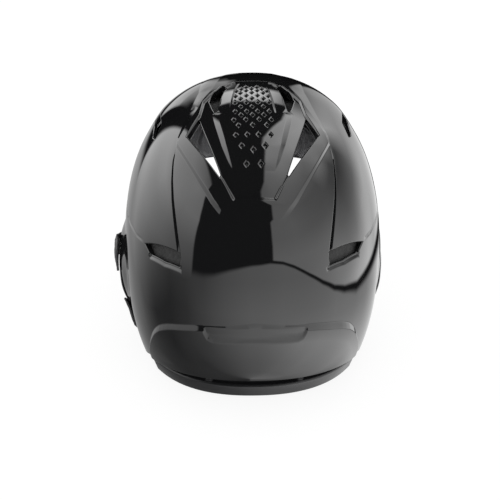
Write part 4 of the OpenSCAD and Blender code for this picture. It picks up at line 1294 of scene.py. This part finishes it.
def cushion(name, s, t, polar_span):
    """Closed body: crown at depth low + d (0.45 + 0.55 sqrt((1 - u^4)(1 - v^4))), a rim, a flat floor."""
    low = pad_lo + below_room
    p = under(cushion_grid(s, t, polar_span, 8, 8)[2], low)
    long_u, long_v = run_length(p[:, 4])[-1], run_length(p[4])[-1]
    n, m = round(long_u / cell), round(long_v / cell)
    s, t = [s[0], s[1] * (1 - side_room / long_u)], [t[0], t[1] * (1 - side_room / long_v)]
    u, v, q = cushion_grid(s, t, polar_span, n, m)
    puff = 0.45 + 0.55 * np.sqrt(np.clip((1 - u ** 4) * (1 - v ** 4), 0, 1))
    depth = low + (pad_hi - crown_room - low) * puff
    crown, base = under(q, depth).reshape(-1, 3), under(q, low).reshape(-1, 3)
    edge = border(n, m)
    middle = (crown[edge] + base[edge]) / 2
    side = unit(np.cross(np.roll(middle, -1, 0) - np.roll(middle, 1, 0), base[edge] - crown[edge]))
    side *= np.sign((side * (middle - middle.mean(0))).sum())
    i, j = np.meshgrid(np.arange(n), np.arange(m), indexing="ij")
    a = (i * (m + 1) + j).ravel()
    quads = np.stack([a, a + m + 1, a + m + 2, a + 1], -1)
    count = len(crown)
    ring = 2 * count + np.arange(len(edge))
    nxt, ring2 = np.roll(edge, -1), np.roll(ring, -1)
    faces = np.concatenate([quads, quads[:, ::-1] + count, np.stack([nxt, edge, ring, ring2], -1),
                            np.stack([ring2, ring, edge + count, nxt + count], -1)])
    body = outward(new_piece(name, np.concatenate([crown, base, middle + 1.2 * side]), faces))
    grid = crown.reshape(n + 1, m + 1, 3)
    across, along = np.meshgrid(run_length(grid[:, m // 2]), run_length(grid[n // 2]), indexing="ij")
    flat = np.stack([across.ravel(), along.ravel(), 0 * along.ravel()], -1)
    lean = np.stack([u.ravel()[edge], v.ravel()[edge]], -1)
    lean = np.sign(lean) * (np.abs(lean) > 0.999)
    rim = flat[edge] + np.concatenate([4.0 * lean, np.full((len(edge), 1), 0.5)], -1)
    wear(body, np.concatenate([flat, flat + [0, 0, 1], rim]))
    body.vertex_groups.new(name="floor").add(list(range(count, 2 * count)), 1.0, "REPLACE")
    return body, ring, slope_normal(skin, q).reshape(-1, 3)[edge]


pad_spans = {"pad_crown": ([0, 14], [-8, 52], False), "pad_brow": ([180, 48], [149.8, 27.8], True),
             "pad_temple_left": ([98, 20], [126, 32], True), "pad_rear": ([0, 40], [164, 20], True),
             "pad_nape": ([0, 36], [213, 20], True)}
pad_bodies = {node: cushion(node + "_cushion", *span) for node, span in pad_spans.items()}

# %% [markdown]
# ## Ear pads
# A ring of padding sits inside each ear flap. Its section is a rounded square, carried round
# the ear between two superellipses: one just outside the opening and one near the flap's
# edge. The section lies between two depths under the flap's side.


# %% Bodies of the ear pads
def ear_cushion(name, stations=48):
    """x = side - depth, and (y, z) = mix(hole, rim, share) for a section of (share, depth)."""
    corners = np.array([[0.90, 0.05], [0.10, 0.05], [0.05, 0.2], [0.05, 0.66], [0.17, 0.82], [0.5, 0.87],
                        [0.83, 0.82], [0.95, 0.66], [0.95, 0.2]])
    box = np.array([22.0, 14.0])
    part = subdivided(corners * box, 4.2) / box
    a = full_turn(stations)[:, None]
    hole, rim = ear_ring(a, 3), superellipse(a, ear_y - 2, ear_z - 2, 48, 44, 0.7)
    yz = lerp(hole, rim, part[:, :1])
    depth = 5.0 + box[1] * part[:, 1]
    rings = np.stack([side_x(yz[..., 0], yz[..., 1]) - depth, yz[..., 0] + crown_y, yz[..., 1]], -1)
    body = outward(carried(name, rings, closed=True))
    round_it = run_length(np.concatenate([part, part[:1]]) * box)[:-1]
    reach = (round_it - round_it[len(part) // 2])[:, None]
    middle = lerp(hole, rim, 0.5)
    radial = unit(rim - hole)
    on_floor = part[:, 1] < 0.1
    third = np.broadcast_to(on_floor[:, None] * 1.0, yz.shape[:2] + (1,))
    wear(body, np.concatenate([middle + reach * radial, third], -1).reshape(-1, 3))
    lowest = np.flatnonzero(np.tile(on_floor, stations)).tolist()
    body.vertex_groups.new(name="floor").add(lowest, 1.0, "REPLACE")
    outermost = np.argmax(part[:, 0] + part[:, 1] * 0.01 - 9 * (part[:, 1] > 0.5))
    return body, np.arange(stations) * len(part) + int(outermost)


ear_body, ear_rim = ear_cushion("ear_pad_left_cushion")

# %% [markdown]
# ## Blowing the pads up
# Blender's cloth simulation does what the foam does in its sleeve: pressure from inside,
# no gravity, the floor pinned to the liner. Twenty frames are enough. Every point may move
# by only a few millimetres, so that the pad keeps clear of its neighbours, and the result
# is written back into the mesh. The seams and sewn channels come after it.


# %% Cloth simulation
def blown(bodies, cap):
    """Runs the cloth for all pads at once, then moves each point by its travel, capped."""
    for body in bodies:
        cloth = body.modifiers.new("cloth", "CLOTH")
        cloth.settings.use_pressure, cloth.settings.uniform_pressure_force = True, 4.0
        cloth.settings.effector_weights.gravity = 0.0
        cloth.settings.vertex_group_mass = "floor"
        cloth.point_cache.frame_start, cloth.point_cache.frame_end = 1, 20
    for frame_number in range(1, 21):
        scene.frame_set(frame_number)
    graph = bpy.context.evaluated_depsgraph_get()
    for body in bodies:
        before = read(body.data.vertices, "co")
        travel = read(body.evaluated_get(graph).data.vertices, "co") - before
        far = np.linalg.norm(travel, axis=1, keepdims=True)
        travel *= np.minimum(1.0, cap * MM / np.maximum(far, 1e-9))
        body.modifiers.clear()
        body.data.vertices.foreach_set("co", (before + travel).ravel())
        kept_far = np.linalg.norm(travel, axis=1).max()
        print(f"{body.name}: travel {far.max() / MM:.1f} mm, kept {kept_far / MM:.1f} mm")
    scene.frame_set(1)


blown([body for body, _, _ in pad_bodies.values()] + [ear_body], 2.6)

# %% [markdown]
# ## Seams, channels and piping
# Two subdivision steps round the cells. The sewn channels then sink into the crown: with d
# the distance from the thread, the cloth drops by 2.3 exp(-(d / 1.8)^2) and a little more
# at each stitch. Where the cloth is gathered into the rim it puckers, and a thin corded
# edge covers the seam.


# %% Sewing
def subdivided_mesh(piece, levels=2):
    """Replaces the mesh by its Catmull-Clark subdivision; attributes are carried along."""
    step = piece.modifiers.new("rounding", "SUBSURF")
    step.levels = step.render_levels = levels
    graph = bpy.context.evaluated_depsgraph_get()
    made = bpy.data.meshes.new_from_object(piece.evaluated_get(graph), preserve_all_data_layers=True,
                                           depsgraph=graph)
    piece.modifiers.clear()
    piece.data = made


def sewn(piece, axis, shares):
    """Sinks the channels across one axis and puckers the edges, along the normals."""
    mesh = piece.data
    c, normals = read(mesh.attributes["cloth"].data, "vector"), read(mesh.vertices, "normal")
    p = read(mesh.vertices, "co") / MM
    high = c[c[:, 2] < 0.2]
    low, span = high.min(0)[:2], np.ptp(high, axis=0)[:2]
    crown = np.clip(1.0 - 2.5 * c[:, 2], 0.0, 1.0)
    drop = np.zeros(len(c))
    for share in shares:
        d = c[:, axis] - low[axis] - share * span[axis]
        stitch = 0.5 + 0.5 * np.cos(2 * math.pi * c[:, 1 - axis] / 4.4)
        drop += (2.3 + 0.3 * stitch) * np.exp(-(d / 1.8) ** 2)
    inner = (c[:, :2] - low) / span
    to_edge = np.minimum(inner, 1 - inner) * span
    for k in (0, 1):
        drop += 0.3 * np.sin(2 * math.pi * c[:, 1 - k] / 8.7 + 2.0 * k) * (1 - ease(to_edge[:, k] / 11.0))
    mesh.vertices.foreach_set("co", ((p - (drop * crown)[:, None] * normals) * MM).ravel())
    mesh.polygons.foreach_set("use_smooth", np.ones(len(mesh.polygons), bool))
    mesh.update()


def corner_cut(p, times=2):
    """Cuts each corner of a closed line at a quarter and three quarters (Chaikin)."""
    for _ in range(times):
        after = np.roll(p, -1, 0)
        p = np.stack([0.75 * p + 0.25 * after, 0.25 * p + 0.75 * after], 1).reshape(-1, p.shape[-1])
    return p


def piping(name, line, normal, radius=0.95, sides=10):
    """Circle carried round a closed line: centre + r (cos b n + sin b side)."""
    line, normal = corner_cut(line), unit(corner_cut(normal))
    along = unit(np.roll(line, -1, 0) - np.roll(line, 1, 0))
    side = unit(np.cross(along, normal))
    up = np.cross(side, along)
    b = full_turn(sides)[:, None]
    rings = line[:, None] + radius * (np.cos(b) * up[:, None] + np.sin(b) * side[:, None])
    cord_edge = outward(carried(name, rings, closed=True))
    s = run_length(line)[:, None, None] + 0 * b
    wear(cord_edge, np.concatenate([s, 0 * s + radius * b, 0 * s], -1).reshape(-1, 3))
    return cord_edge


# the axis that the channels cross, and where they lie along it
sewing = {"pad_crown": (1, [0.17, 0.34, 0.5, 0.66, 0.83]),
          "pad_brow": (0, [0.14, 0.28, 0.42, 0.58, 0.72, 0.86]),
          "pad_temple_left": (1, [0.34, 0.66]),
          "pad_rear": (0, [0.17, 0.33, 0.5, 0.67, 0.83]),
          "pad_nape": (0, [0.2, 0.4, 0.6, 0.8])}


for node, (body, ring, normal) in pad_bodies.items():
    edge_cord = piping(node + "_piping", read(body.data.vertices, "co")[ring] / MM, normal)
    subdivided_mesh(body)
    sewn(body, *sewing[node])
    for piece in (body, edge_cord):
        dressed_pair(piece, node, pad_cloth)
ear_line = read(ear_body.data.vertices, "co")[ear_rim] / MM
ear_cord = piping("ear_pad_left_piping", ear_line, np.broadcast_to([1.0, 0, 0], ear_line.shape))
subdivided_mesh(ear_body)
for piece in (ear_body, ear_cord):
    dressed_pair(piece, "ear_pad_left", ear_pad_cloth)
